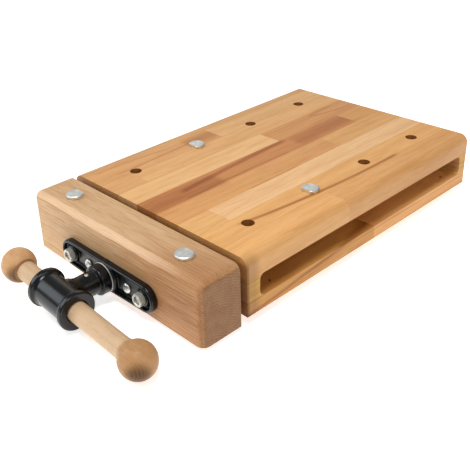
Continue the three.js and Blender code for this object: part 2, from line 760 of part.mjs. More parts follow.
// ---------- handle ----------
// The bar is drawn along Y about its own middle, with one ball turned on its near end.
function addHandleBar(group) {
  const half = handle.ballSpacing / 2;
  const shoulder = half - handleJoint.shoulder;
  const tenonEnd = shoulder + handleJoint.tenonLength;
  const outline = [];
  const neckAngle = Math.asin((handle.radius + handleJoint.blendRise) / handle.ballRadius);
  for (let i = 0; i <= ballSteps; i++) {
    const angle = Math.PI - (i / ballSteps) * (Math.PI - neckAngle);
    outline.push([handle.ballRadius * Math.sin(angle), -half + handle.ballRadius * Math.cos(angle)]);
  }
  outline[0][0] = 0;
  const ballEdge = outline[ballSteps][1];
  const blend = [];
  for (let i = 1; i <= blendSteps; i++) {
    const share = i / blendSteps;
    const rise = handleJoint.blendRise * (1 - share) ** 2;
    blend.push([handle.radius + rise, ballEdge + handleJoint.blendLength * share]);
  }
  const profile = [
    ...outline,
    ...blend,
    [handle.radius, shoulder],
    [handleJoint.tenonRadius, shoulder],
    [handleJoint.tenonRadius, tenonEnd],
    [0, tenonEnd],
  ];
  addPiece(group, "handle_bar", turn(profile, "y", [0, 0, 0], ballSegments), finishes.handleBeech);
}

function addHandleBall(group) {
  const half = handle.ballSpacing / 2;
  const face = half - handleJoint.shoulder + faceGap;
  const start = Math.acos((face - half) / handle.ballRadius);
  const outline = [];
  for (let i = 0; i <= ballSteps; i++) {
    const angle = start * (1 - i / ballSteps);
    outline.push([handle.ballRadius * Math.sin(angle), half + handle.ballRadius * Math.cos(angle)]);
  }
  outline[ballSteps][0] = 0;
  const bore = handleJoint.tenonRadius + pinFit;
  const boreEndAt = face + handleJoint.tenonLength + faceGap;
  const profile = [[0, boreEndAt], [bore, boreEndAt], [bore, face], ...outline];
  addPiece(group, "handle_ball", turn(profile, "y", [0, 0, 0], ballSegments), finishes.handleBeech);
}

// ---------- assembly ----------
function build() {
  const press = new THREE.Group();
  press.name = "clamping_press";
  const assembly = new THREE.Group();
  assembly.position.x = -(frontEnd + bed.length) / 2;
  press.add(assembly);

  addBedBlock(assembly);
  addScrewNut(assembly);
  addGuideBushes(assembly);
  addFeet(assembly);
  addBedDogs(assembly);

  const jawGroup = new THREE.Group();
  assembly.add(jawGroup);
  addJawBlock(jawGroup);
  addJawFlange(jawGroup);
  addFlangeScrews(jawGroup);
  addGuideRods(jawGroup);
  addRodWashers(jawGroup);
  addRodNuts(jawGroup);
  addThrustWasher(jawGroup);
  addJawDogs(jawGroup);

  const screwGroup = new THREE.Group();
  screwGroup.position.z = axis.height;
  screwGroup.rotation.x = THREE.MathUtils.degToRad(handle.tilt);
  jawGroup.add(screwGroup);
  addLeadScrew(screwGroup);
  addRetainingClip(screwGroup);
  addScrewHead(screwGroup);
  addHeadPin(screwGroup);

  const handleGroup = new THREE.Group();
  handleGroup.position.set(sleeveX, -handle.slide, 0);
  screwGroup.add(handleGroup);
  addHandleBar(handleGroup);
  addHandleBall(handleGroup);
  return press;
}

export default build();
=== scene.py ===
import json
import math

import bmesh
import bpy
from mathutils import Matrix, Vector


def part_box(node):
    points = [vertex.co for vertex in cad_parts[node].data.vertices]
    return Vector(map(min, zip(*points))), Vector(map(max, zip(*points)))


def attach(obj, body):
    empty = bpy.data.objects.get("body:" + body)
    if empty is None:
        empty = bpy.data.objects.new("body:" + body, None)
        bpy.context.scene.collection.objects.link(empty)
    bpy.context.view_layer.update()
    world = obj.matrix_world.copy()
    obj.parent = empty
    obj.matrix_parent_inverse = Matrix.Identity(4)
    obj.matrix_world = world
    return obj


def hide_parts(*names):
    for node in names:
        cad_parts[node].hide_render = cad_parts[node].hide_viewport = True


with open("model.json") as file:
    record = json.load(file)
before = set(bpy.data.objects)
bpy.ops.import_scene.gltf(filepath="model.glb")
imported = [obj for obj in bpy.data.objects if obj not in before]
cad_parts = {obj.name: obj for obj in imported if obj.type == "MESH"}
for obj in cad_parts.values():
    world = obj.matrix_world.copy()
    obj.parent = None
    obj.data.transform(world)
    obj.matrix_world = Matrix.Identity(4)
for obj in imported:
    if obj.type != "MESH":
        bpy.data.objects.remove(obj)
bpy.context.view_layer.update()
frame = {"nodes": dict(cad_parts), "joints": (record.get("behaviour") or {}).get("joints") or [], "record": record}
joints = {joint["name"]: joint for joint in frame["joints"]}
openings = {opening["name"]: opening["box_m"] for opening in frame["record"]["physics"]["openings"]}
mm = 0.001
print("frame loaded,", len(frame["nodes"]), "CAD nodes")


# camera

cameraSetup = {
    "place": (-0.75952, -0.75856, 0.62175),
    "heading": 48.937,  # degrees from +X towards +Y
    "downTilt": 26.145,
    "roll": -3.044,
    "lens": 56.87,
    "sensor": 36.0,
    "shift": (0.0957, -0.117),
}


def addCamera(setup):
    heading = math.radians(setup["heading"])
    down = math.radians(setup["downTilt"])
    roll = math.radians(setup["roll"])
    ahead = Vector((math.cos(down) * math.cos(heading), math.cos(down) * math.sin(heading), -math.sin(down)))
    level = Vector((math.sin(heading), -math.cos(heading), 0))
    upright = level.cross(ahead)
    right = level * math.cos(roll) + upright * math.sin(roll)
    up = upright * math.cos(roll) - level * math.sin(roll)
    data = bpy.data.cameras.new("camera")
    data.lens = setup["lens"]
    data.sensor_width = setup["sensor"]
    data.shift_x, data.shift_y = setup["shift"]
    data.clip_start, data.clip_end = 0.02, 60
    camera = bpy.data.objects.new("camera", data)
    turned = Matrix((right, up, -ahead)).transposed().to_4x4()
    camera.matrix_world = Matrix.Translation(setup["place"]) @ turned
    bpy.context.scene.collection.objects.link(camera)
    bpy.context.scene.camera = camera


addCamera(cameraSetup)
print("camera set")


# shader maths


class Wire:
    # one socket of a material, so that sums on it read as plain sums
    def __init__(self, paint, socket):
        self.paint = paint
        self.socket = socket

    def out(self, name):
        return Wire(self.paint, self.socket.node.outputs[name])

    def sum(self, operation, *values):
        return self.paint.node("ShaderNodeMath", {"operation": operation}, values)

    def __add__(self, other):
        return self.sum("ADD", self, other)

    def __radd__(self, other):
        return self.sum("ADD", other, self)

    def __sub__(self, other):
        return self.sum("SUBTRACT", self, other)

    def __rsub__(self, other):
        return self.sum("SUBTRACT", other, self)

    def __mul__(self, other):
        return self.sum("MULTIPLY", self, other)

    def __rmul__(self, other):
        return self.sum("MULTIPLY", other, self)

    def __truediv__(self, other):
        return self.sum("DIVIDE", self, other)

    def __pow__(self, other):
        return self.sum("POWER", self, other)

    def __gt__(self, other):
        return self.sum("GREATER_THAN", self, other)

    def __lt__(self, other):
        return self.sum("LESS_THAN", self, other)

    def __abs__(self):
        return self.sum("ABSOLUTE", self)


def linear(red, green, blue):
    # a colour as seen on a screen, 0 to 255, in the renderer's own scale
    def one(value):
        share = value / 255
        return share / 12.92 if share <= 0.04045 else ((share + 0.055) / 1.055) ** 2.4

    return (one(red), one(green), one(blue), 1.0)


class Paint:
    # a material and the nodes that feed its one surface shader
    def __init__(self, name, **fixed):
        self.material = bpy.data.materials.new(name)
        self.material.use_nodes = True
        self.tree = self.material.node_tree
        self.shader = self.tree.nodes["Principled BSDF"]
        self.set(fixed)

    def put(self, socket, value):
        if isinstance(value, Wire):
            self.tree.links.new(value.socket, socket)
        else:
            socket.default_value = value

    def set(self, values):
        for name, value in values.items():
            self.put(self.shader.inputs[name], value)

    def node(self, kind, settings=None, inputs=(), output=0):
        made = self.tree.nodes.new(kind)
        for name, value in (settings or {}).items():
            if name == "stops":
                self.setStops(made.color_ramp, value)
            elif name == "ramp":
                made.color_ramp.interpolation = value
            else:
                setattr(made, name, value)
        named = inputs.items() if isinstance(inputs, dict) else enumerate(inputs)
        for name, value in named:
            self.put(made.inputs[name], value)
        return Wire(self, made.outputs[output])

    def setStops(self, ramp, stops):
        while len(ramp.elements) < len(stops):
            ramp.elements.new(1.0)
        for element, (place, colour) in zip(ramp.elements, stops):
            element.position = place
        for element, (place, colour) in zip(ramp.elements, stops):
            element.color = colour

    def mix(self, share, first, second, blend="MIX"):
        settings = {"data_type": "RGBA", "blend_type": blend, "clamp_factor": True}
        return self.node("ShaderNodeMix", settings, {0: share, 6: first, 7: second}, 2)

    def fade(self, value, low, high, start=0.0, end=1.0):
        settings = {"interpolation_type": "SMOOTHSTEP"}
        return self.node("ShaderNodeMapRange", settings, (value, low, high, start, end))

    def noise(self, vector, scale=1.0, detail=2.0, roughness=0.5, shift=None):
        settings = {"noise_dimensions": "3D" if shift is None else "4D"}
        inputs = {"Vector": vector, "Scale": scale, "Detail": detail, "Roughness": roughness}
        if shift is not None:
            inputs["W"] = shift
        return self.node("ShaderNodeTexNoise", settings, inputs)

    def joinAxes(self, x, y, z):
        return self.node("ShaderNodeCombineXYZ", None, (x, y, z))

    def places(self, offset=(0, 0, 0)):
        # the piece's own coordinates in millimetres
        own = self.node("ShaderNodeTexCoord", None, (), "Object")
        moved = self.node("ShaderNodeVectorMath", {"operation": "SUBTRACT"}, (own, offset))
        scaled = self.node("ShaderNodeVectorMath", {"operation": "SCALE"}, {0: moved, "Scale": 1000.0})
        split = self.node("ShaderNodeSeparateXYZ", None, (scaled,))
        return split.out("X"), split.out("Y"), split.out("Z")

    def normals(self):
        flat = self.node("ShaderNodeNewGeometry", None, (), "True Normal")
        split = self.node("ShaderNodeSeparateXYZ", None, (flat,))
        return abs(split.out("X")), abs(split.out("Y")), abs(split.out("Z"))

    def bump(self, height, strength, distance):
        inputs = {"Height": height, "Strength": strength, "Distance": distance}
        return self.node("ShaderNodeBump", None, inputs)


# wood

grainLook = {
    "fibreTint": (0.80, 0.71, 0.62, 1),
    "bandTint": (0.84, 0.75, 0.66, 1),
    "fleckTint": (0.70, 0.56, 0.45, 1),
    "endTint": (0.50, 0.43, 0.38, 1),
    "fibre": 0.46,
    "band": 0.6,
    "fleck": 0.6,
    "ring": 0.25,
    "ringStep": 0.5,
    "endDepth": 0.5,
    "arc": 0.13,
}


def beechGrain(paint, tone, along, across, high, endGrainAndShadeOn, boardNumber, look):
    # grain running along one axis, over a board's own tone; the end mask is 1 on end grain, and on the handle
    # where the balls face along a fixed slant, where the end tint is painted shade
    slow = paint.joinAxes(along * 0.006, across * 0.07, high * 0.07)
    broad = paint.noise(slow, 1.0, 2.0, 0.5, boardNumber)
    fibreAt = paint.joinAxes(along * 0.03, across * 0.5, high * 0.5)
    fibre = paint.noise(fibreAt, 1.0, 4.0, 0.6, boardNumber)
    threadAt = paint.joinAxes(along * 0.09, across * 1.9, high * 1.9)
    thread = paint.noise(threadAt, 1.0, 2.0, 0.5, boardNumber)
    ringAt = (across + high * 0.6) * look["ringStep"] + broad * 26
    rings = paint.node("ShaderNodeMath", {"operation": "SINE"}, (ringAt,))
    ringBand = paint.fade(rings, 0.1, 1.0)
    fleckAt = paint.joinAxes(along * 0.22, across * 1.25, high * 1.25)
    fleckCell = paint.node(
        "ShaderNodeTexVoronoi",
        {"voronoi_dimensions": "4D"},
        {"Vector": fleckAt, "W": boardNumber, "Scale": 1.0},
    )
    chosen = paint.node("ShaderNodeSeparateColor", None, (fleckCell.out("Color"),)) > 0.45
    fleck = paint.fade(fleckCell, 0.34, 0.16) * chosen
    shaded = paint.mix(paint.fade(broad, 0.35, 0.72) * look["band"], tone, look["bandTint"], "MULTIPLY")
    shaded = paint.mix(ringBand * look["ring"], shaded, look["bandTint"], "MULTIPLY")
    shaded = paint.mix(paint.fade(fibre, 0.42, 0.72) * look["fibre"], shaded, look["fibreTint"], "MULTIPLY")
    threadShare = paint.fade(thread, 0.5, 0.75) * look["fibre"] * 0.5
    shaded = paint.mix(threadShare, shaded, look["fibreTint"], "MULTIPLY")
    shaded = paint.mix(fleck * look["fleck"] * (1 - endGrainAndShadeOn), shaded, look["fleckTint"], "MULTIPLY")
    centre = paint.joinAxes(across * 1.0, high + 70, 0)
    radius = paint.node("ShaderNodeVectorMath", {"operation": "LENGTH"}, (centre,), 1)
    arcs = paint.node("ShaderNodeMath", {"operation": "SINE"}, (radius * 1.7 + broad * 9,))
    endGrainAndShadeTone = paint.mix(look["endDepth"] + look["arc"] * arcs, (1, 1, 1, 1), look["endTint"])
    shaded = paint.mix(endGrainAndShadeOn, shaded, paint.mix(1.0, shaded, endGrainAndShadeTone, "MULTIPLY"))
    return shaded, fibre, thread, fleck


def finishWood(paint, colour, fibre, thread, fleck, roughness):
    paint.set(
        {
            "Base Color": colour,
            "Roughness": roughness + 0.16 * fibre,
            "Normal": paint.bump(fibre * 0.5 + thread * 0.35 - fleck * 0.3, 0.14, 0.0004),
            "Specular IOR Level": 0.17,
        }
    )
    return paint.material


# The boards of the bed's top, from the near edge to the far one: where the butt joint stands along
# the board, in mm from the gap, and the colours on its two sides.
boards = [
    {"joint": 218, "front": (226, 171, 108), "back": (218, 162, 102)},
    {"joint": 560, "front": (225, 171, 107), "back": (214, 158, 96)},
    {"joint": 60, "front": (224, 172, 110), "back": (232, 187, 135)},
    {"joint": 372, "front": (212, 155, 96), "back": (216, 163, 101)},
    {"joint": 478, "front": (196, 133, 78), "back": (208, 151, 90)},
    {"joint": 318, "front": (230, 183, 126), "back": (206, 147, 90)},
    {"joint": 60, "front": (214, 162, 106), "back": (220, 169, 111)},
    {"joint": 266, "front": (213, 159, 103), "back": (219, 171, 114)},
    {"joint": 560, "front": (208, 159, 105), "back": (208, 159, 105)},
]

bedLook = {
    "boardWidth": 45.0,
    "topLayer": 33.0,
    "bottomLayer": 22.0,
    "coreTone": (205, 158, 84),
    "coreEnd": (214, 162, 108),
    "bottomTone": (220, 164, 102),
    "bottomFront": (197, 144, 80),
    "bottomJoint": 284,
    "glueTint": (0.66, 0.54, 0.44, 1),
    "glueHalf": 0.22,
    "boreTint": (0.46, 0.34, 0.24, 1),
    "figureTint": (0.60, 0.43, 0.30, 1),
    "sideTint": (0.84, 0.88, 0.98, 1),
    "postTint": (0.50, 0.48, 0.50, 1),
    "gapTint": (0.42, 0.35, 0.30, 1),
    "roughness": 0.36,
}

# Darker figure in single boards, in mm from the gap and from the near edge: start, bend and end of
# each line, its half width and its depth.
figure = [
    {"line": ((58, 73.5), (208, 54), (408, 46.6)), "half": 2.9, "depth": 1.0},
    {"line": ((149, 137.5), (210, 136.6), (270, 137.5)), "half": 1.5, "depth": 0.5},
    {"line": ((-40, 203), (60, 203), (150, 196)), "half": 20.0, "depth": 0.6},
    {"line": ((70, 206), (180, 215), (330, 221)), "half": 4.5, "depth": 0.8},
    {"line": ((60, 184), (180, 186), (300, 184)), "half": 1.6, "depth": 0.6},
    {"line": ((330, 203), (420, 203), (478, 203)), "half": 15.0, "depth": 0.5, "abrupt": True},
    {"line": ((439, 261), (476, 265.5), (512, 266)), "half": 1.3, "depth": 0.7},
    {"line": ((439, 261), (474, 251), (548, 242)), "half": 1.3, "depth": 0.7},
    {"line": ((16, 357), (124, 353), (168, 346)), "half": 1.3, "depth": 0.6},
    {"line": ((196, 336), (232, 338), (266, 338)), "half": 16.0, "depth": 0.55, "abrupt": True},
    {"line": ((40, 330), (150, 334), (240, 340)), "half": 2.0, "depth": 0.45},
]


def figureLine(paint, along, across, fibre, line):
    (x0, y0), (x1, y1), (x2, y2) = line["line"]
    first = (y1 - y0) / (x1 - x0)
    second = (y2 - y1) / (x2 - x1)
    curve = (second - first) / (x2 - x0)
    middle = y0 + (along - x0) * first + (along - x0) * (along - x1) * curve
    off = abs(across - middle + (fibre - 0.5) * 3.0)
    tail = along < x2 if line.get("abrupt") else paint.fade(along, x2 + 4, x2 - 14)
    ends = paint.fade(along, x0 - 4, x0 + 12) * tail
    return paint.fade(off, line["half"] * 1.8, line["half"] * 0.3) * ends * line["depth"]


def boardRamp(paint, share, values):
    stops = [(i * bedLook["boardWidth"] / bedWidth, value) for i, value in enumerate(values)]
    return paint.node("ShaderNodeValToRGB", {"ramp": "CONSTANT", "stops": stops}, (share,))


def bedBeech(low, high):
    paint = Paint("bedBeech")
    along, across, tall = paint.places(tuple(low))
    endGrainAndShadeOn, sideOn, flatOn = paint.normals()
    endGrainAndShadeOn = paint.fade(endGrainAndShadeOn, 0.75, 0.9)
    share = across / bedWidth
    boardNumber = paint.node("ShaderNodeMath", {"operation": "FLOOR"}, (across / bedLook["boardWidth"],))
    joint = boardRamp(paint, share, [(board["joint"] / 1000,) * 3 + (1,) for board in boards])
    jointAt = paint.node("ShaderNodeSeparateColor", None, (joint,)) * 1000
    past = along > jointAt
    front = boardRamp(paint, share, [linear(*board["front"]) for board in boards])
    back = boardRamp(paint, share, [linear(*board["back"]) for board in boards])
    topTone = paint.mix(past, front, back)
    inTop = tall > bedHeight - bedLook["topLayer"]
    inBottom = tall < bedLook["bottomLayer"]
    coreTone = paint.mix(endGrainAndShadeOn, linear(*bedLook["coreTone"]), linear(*bedLook["coreEnd"]))
    tone = paint.mix(inTop, coreTone, topTone)
    pastBottom = along > bedLook["bottomJoint"]
    bottomTone = paint.mix(pastBottom, linear(*bedLook["bottomFront"]), linear(*bedLook["bottomTone"]))
    tone = paint.mix(inBottom, tone, bottomTone)
    number = boardNumber * 3.7 + past * 1.9 + inTop * 11 + inBottom * 23
    colour, fibre, thread, fleck = beechGrain(
        paint, tone, along, across, tall, endGrainAndShadeOn, number, grainLook
    )
    for line in figure:
        dark = figureLine(paint, along, across, fibre, line) * inTop * flatOn
        colour = paint.mix(dark, colour, bedLook["figureTint"], "MULTIPLY")
    # Painted shade on the walls of the dog holes and fixing holes in the top layer.
    inBore = (1 - flatOn) * inTop * (across > 20) * (across < bedWidth - 20) * (along > 20)
    inBore = inBore * (along < (high.x - low.x) / mm - 12)
    colour = paint.mix(paint.fade(inBore, 0.5, 0.9), colour, bedLook["boreTint"], "MULTIPLY")
    lowStreak = paint.noise(paint.joinAxes(along * 0.004, 0.0, tall * 0.16), 1.0, 2.0, 0.5)
    colour = paint.mix(
        paint.fade(lowStreak, 0.5, 0.62) * (1 - inTop) * 0.5, colour, (0.74, 0.62, 0.52, 1), "MULTIPLY"
    )
    climb = abs(tall + across * 0.3 - 2 - along * 0.09 + (fibre - 0.5) * 5)
    stripe = paint.fade(climb, 4.5, 0.8) * inBottom * (along < bedLook["bottomJoint"])
    colour = paint.mix(stripe * 0.75, colour, bedLook["figureTint"], "MULTIPLY")
    half = bedLook["boardWidth"] / 2
    toEdge = half - abs(
        paint.node("ShaderNodeMath", {"operation": "MODULO"}, (across, bedLook["boardWidth"])) - half
    )
    glue = paint.fade(toEdge, bedLook["glueHalf"] * 2, bedLook["glueHalf"] * 0.5) * (1 - sideOn)
    butt = paint.fade(abs(along - jointAt), bedLook["glueHalf"] * 2.4, bedLook["glueHalf"] * 0.6) * inTop
    topSeam = abs(tall - (bedHeight - bedLook["topLayer"]))
    lowSeam = abs(tall - bedLook["bottomLayer"])
    seam = paint.fade(topSeam.sum("MINIMUM", topSeam, lowSeam), 0.5, 0.15) * (1 - flatOn)
    lines = glue.sum("MAXIMUM", glue.sum("MAXIMUM", glue * 0.55, butt * 0.35), seam)
    colour = paint.mix(lines, colour, bedLook["glueTint"], "MULTIPLY")
    # Painted shade on the bed's end face in the gap behind the jaw, darker below 87 mm.
    gapShade = paint.fade(along, 6, 1) * paint.fade(tall, 87, 76)
    colour = paint.mix(gapShade * 0.85, colour, bedLook["gapTint"], "MULTIPLY")
    # Painted shade: the side faces of the top layer are darkened and cooled, outside the bores.
    colour = paint.mix(sideOn * inTop * (1 - inBore), colour, bedLook["sideTint"], "MULTIPLY")
    # Painted shade on the side faces within 30 mm of the gap end, on the post in front of the pockets.
    postShade = paint.fade(along, 30, 12) * sideOn * (1 - inBore)
    colour = paint.mix(postShade * 0.6, colour, bedLook["postTint"], "MULTIPLY")
    return finishWood(paint, colour, fibre, thread, fleck, bedLook["roughness"])


jawLook = {
    "tone": (207, 171, 130),
    "lowTone": (182, 137, 96),
    "paleTint": (0.98, 0.72, 0.50, 1),
    "cornerTint": (0.58, 0.56, 0.58, 1),
    "endTint": (0.40, 0.40, 0.42, 1),
    "roughness": 0.38,
}


def jawBeech(low, high):
    paint = Paint("jawBeech")
    across, along, tall = paint.places(tuple(low))
    _, endGrainAndShadeOn, flatOn = paint.normals()
    # The corner mask marks the rounded corners between the jaw's faces, where shade is painted below.
    corner = paint.fade(abs(endGrainAndShadeOn - 0.6), 0.32, 0.05) * (1 - flatOn)
    endGrainAndShadeOn = paint.fade(endGrainAndShadeOn, 0.72, 0.9)
    wave = paint.noise(paint.joinAxes(across * 0.04, along * 0.016, tall * 0.06), 1.0, 2.0, 0.5)
    share = paint.fade(tall * 0.35 + wave * 26 + across * 0.2 + along * 0.35, 115, 45)
    tone = paint.mix(share, linear(*jawLook["tone"]), linear(*jawLook["lowTone"]))
    look = dict(grainLook, fibre=1.0, band=0.7, ring=0.8, ringStep=2.1, endTint=jawLook["endTint"])
    colour, fibre, thread, fleck = beechGrain(paint, tone, along, across, tall, endGrainAndShadeOn, 41.3, look)
    height = (high.z - low.z) / mm
    # A pale band along the rounded top front edge: partly the wood's figure, partly a painted highlight.
    cornerOff = abs(across - (height - tall) - 6 + wave * 8)
    pale = paint.fade(cornerOff, 9, 7) * paint.fade(across + height - tall, 26, 22)
    pale = pale * paint.fade(along, 20, 120) * (1 - endGrainAndShadeOn)
    under = paint.fade(abs(cornerOff - 9.5), 2.2, 0.4) * paint.fade(across, 14, 4)
    under = under * paint.fade(along, 20, 120)
    colour = paint.mix(pale * 0.3, colour, jawLook["paleTint"])
    colour = paint.mix(under * 0.5, colour, grainLook["bandTint"], "MULTIPLY")
    # Painted shade along the jaw's rounded corners between its faces.
    colour = paint.mix(corner * 0.6, colour, jawLook["cornerTint"], "MULTIPLY")
    colour = paint.mix(endGrainAndShadeOn * 0.35, colour, (0.52, 0.52, 0.54, 1), "MULTIPLY")
    return finishWood(paint, colour, fibre, thread, fleck, jawLook["roughness"])


handleLook = {
    "barTone": (203, 173, 139),
    "ballTones": {"near": (178, 136, 93), "far": (198, 154, 110)},
    # The next two entries are painted shade: a dark tint on the balls where they face along a fixed slant, towards
    # the camera and away from it.
    "endWay": (0.60, 0.77, 0.20),
    "endTint": (0.22, 0.18, 0.13, 1),
    "roughness": 0.3,
}


def handleBeech(name, end, ballEnds, number):
    # the piece's own Z runs along the handle; ballEnds are where its ball starts, in mm
    paint = Paint(name)
    x, y, z = paint.places()
    inBall = paint.fade(z, *ballEnds)
    tone = paint.mix(inBall, linear(*handleLook["barTone"]), linear(*handleLook["ballTones"][end]))
    # Painted shade: where the balls face along the fixed slant, towards the camera and away from it, the end tint
    # darkens them.
    pole = paint.node("ShaderNodeNewGeometry", None, (), "Normal")
    shadeFacing = paint.node(
        "ShaderNodeVectorMath", {"operation": "DOT_PRODUCT"}, (pole, handleLook["endWay"]), 1
    )
    endGrainAndShadeOn = paint.fade(abs(shadeFacing), 0.62, 1.0)
    look = dict(grainLook, fibre=0.5, band=0.45, fleck=0.85, ring=0.12, arc=0.05, endDepth=0.95)
    look["endTint"] = handleLook["endTint"]
    colour, fibre, thread, fleck = beechGrain(paint, tone, z, x + 13.0, y + 9.0, endGrainAndShadeOn, number, look)
    return finishWood(paint, colour, fibre, thread, fleck, handleLook["roughness"])


# metal, enamel, plastic and rubber


def enamel():
    paint = Paint("blackEnamel", **{"Specular IOR Level": 0.36})
    own = paint.joinAxes(*paint.places())
    skin = paint.noise(own, 0.35, 3.0, 0.55)
    pits = paint.noise(own, 1.6, 2.0, 0.5)
    dust = paint.fade(paint.noise(own, 0.12, 3.0, 0.6), 0.5, 0.75)
    paint.set(
        {
            "Base Color": paint.mix(dust, linear(7, 8, 9), linear(16, 17, 18)),
            "Roughness": 0.15 + 0.12 * skin + 0.06 * dust,
            "Normal": paint.bump(skin + pits * 0.35, 0.16, 0.0007),
        }
    )
    return paint.material


def turnedMetal(name, tone, shade, roughness, ringStep, ringDepth):
    # metal turned about the piece's own Z, with fine rings left by the tool
    paint = Paint(name, Metallic=1.0)
    x, y, z = paint.places()
    radius = paint.node("ShaderNodeVectorMath", {"operation": "LENGTH"}, (paint.joinAxes(x, y, 0.0),), 1)
    rings = paint.noise(paint.joinAxes(radius / ringStep, z / ringStep, 0.0), 1.0, 2.0, 0.6)
    cloud = paint.noise(paint.joinAxes(x, y, z), 0.16, 3.0, 0.6)
    spots = paint.fade(paint.noise(paint.joinAxes(x, y, z), 1.1, 2.0, 0.5), 0.6, 0.74)
    colour = paint.mix(paint.fade(cloud, 0.35, 0.7), linear(*tone), linear(*shade))
    colour = paint.mix(spots * 0.35, colour, linear(*shade))
    paint.set(
        {
            "Base Color": colour,
            "Roughness": roughness + 0.12 * cloud + 0.08 * rings,
            "Normal": paint.bump(rings, ringDepth, 0.00012),
        }
    )
    return paint.material


def plainMetal(name, tone, shade, roughness, metallic=1.0):
    paint = Paint(name, Metallic=metallic)
    own = paint.joinAxes(*paint.places())
    cloud = paint.noise(own, 0.2, 3.0, 0.6)
    scuff = paint.noise(own, 1.4, 3.0, 0.6)
    paint.set(
        {
            "Base Color": paint.mix(paint.fade(cloud, 0.3, 0.7), linear(*tone), linear(*shade)),
            "Roughness": roughness + 0.16 * scuff,
            "Normal": paint.bump(scuff, 0.12, 0.0001),
        }
    )
    return paint.material


def mouldedRubber(name, tone, roughness):
    paint = Paint(name, **{"Specular IOR Level": 0.35})
    own = paint.joinAxes(*paint.places())
    grit = paint.noise(own, 2.2, 3.0, 0.6)
    worn = paint.fade(paint.noise(own, 0.1, 2.0, 0.5), 0.45, 0.7)
    lighter = tuple(min(255, value + 16) for value in tone)
    paint.set(
        {
            "Base Color": paint.mix(worn, linear(*tone), linear(*lighter)),
            "Roughness": roughness + 0.12 * worn,
            "Normal": paint.bump(grit, 0.25, 0.0003),
        }
    )
    return paint.material


blackEnamel = enamel()
zincTurned = turnedMetal("zincTurned", (232, 233, 229), (206, 208, 205), 0.34, 0.55, 0.35)
zincPlate = plainMetal("zincPlate", (230, 231, 228), (205, 207, 205), 0.26)
nutZinc = plainMetal("nutZinc", (222, 221, 208), (196, 195, 184), 0.34, 0.75)
brightSteel = turnedMetal("brightSteel", (176, 178, 180), (148, 150, 153), 0.2, 0.8, 0.3)
springSteel = plainMetal("springSteel", (112, 116, 124), (82, 86, 94), 0.26)
bushingNylon = mouldedRubber("bushingNylon", (40, 41, 43), 0.42)
footRubber = mouldedRubber("footRubber", (30, 30, 31), 0.7)
print("finishes made")


# mesh helpers


def newPiece(name, shape, material, place=None):
    data = bpy.data.meshes.new(name)
    bmesh.ops.recalc_face_normals(shape, faces=shape.faces)
    shape.to_mesh(data)
    shape.free()
    piece = bpy.data.objects.new(name, data)
    bpy.context.scene.collection.objects.link(piece)
    if material:
        data.materials.append(material)
    if place is not None:
        piece.matrix_world = place
    return piece


def settle(piece):
    # the modifiers' result becomes the piece's own mesh
    bpy.context.view_layer.update()
    seen = piece.evaluated_get(bpy.context.evaluated_depsgraph_get())
    data = bpy.data.meshes.new_from_object(seen)
    old = piece.data
    piece.modifiers.clear()
    piece.data = data
    data.name = piece.name
    bpy.data.meshes.remove(old)
    return piece


def combine(piece, tools, operation="DIFFERENCE"):
    for tool in tools:
        step = piece.modifiers.new("combine", "BOOLEAN")
        step.operation = operation
        step.solver = "EXACT"
        step.object = tool
    settle(piece)
    for tool in tools:
        bpy.data.objects.remove(tool)
    return piece


def soften(piece, width, segments=3, angle=30):
    # rounds what sharp edges are left, then shades the piece smooth between them
    step = piece.modifiers.new("soften", "BEVEL")
    step.width = width
    step.segments = segments
    step.limit_method = "ANGLE"
    step.angle_limit = math.radians(angle)
    settle(piece)
    return shadeSmooth(piece, angle)


def shadeSmooth(piece, angle=35):
    piece.data.polygons.foreach_set("use_smooth", [True] * len(piece.data.polygons))
    piece.data.set_sharp_from_angle(angle=math.radians(angle))
    step = piece.modifiers.new("weigh", "WEIGHTED_NORMAL")
    step.keep_sharp = True
    return settle(piece)


def cleanMesh(piece):
    shape = bmesh.new()
    shape.from_mesh(piece.data)
    bmesh.ops.remove_doubles(shape, verts=shape.verts, dist=0.00001)
    bmesh.ops.dissolve_limit(shape, angle_limit=math.radians(1), verts=shape.verts, edges=shape.edges)
    shape.to_mesh(piece.data)
    shape.free()
    return piece


def turnShape(profile, segments=72):
    # a closed shape from [radius, distance] pairs in mm, turned about Z
    shape = bmesh.new()
    rings = []
    for radius, distance in profile:
        if radius < 0.001:
            rings.append([shape.verts.new((0, 0, distance * mm))])
            continue
        ring = []
        for i in range(segments):
            angle = 2 * math.pi * i / segments
            x, y = radius * mm * math.cos(angle), radius * mm * math.sin(angle)
            ring.append(shape.verts.new((x, y, distance * mm)))
        rings.append(ring)
    if len(rings[0]) > 1:
        rings.append(rings[0])  # a ring with a bore closes on itself
    for first, second in zip(rings, rings[1:]):
        for i in range(segments):
            j = (i + 1) % segments
            corners = [first[i % len(first)], first[j % len(first)]]
            corners += [second[j % len(second)], second[i % len(second)]]
            unique = list(dict.fromkeys(corners))
            if len(unique) > 2:
                shape.faces.new(unique)
    return shape


def pushShape(outline, start, end):
    # a flat outline of (x, y) pairs in mm, pushed along Z
    shape = bmesh.new()
    low = [shape.verts.new((x * mm, y * mm, start * mm)) for x, y in outline]
    high = [shape.verts.new((x * mm, y * mm, end * mm)) for x, y in outline]
    shape.faces.new(low[::-1])
    shape.faces.new(high)
    for i in range(len(outline)):
        j = (i + 1) % len(outline)
        shape.faces.new((low[i], low[j], high[j], high[i]))
    return shape


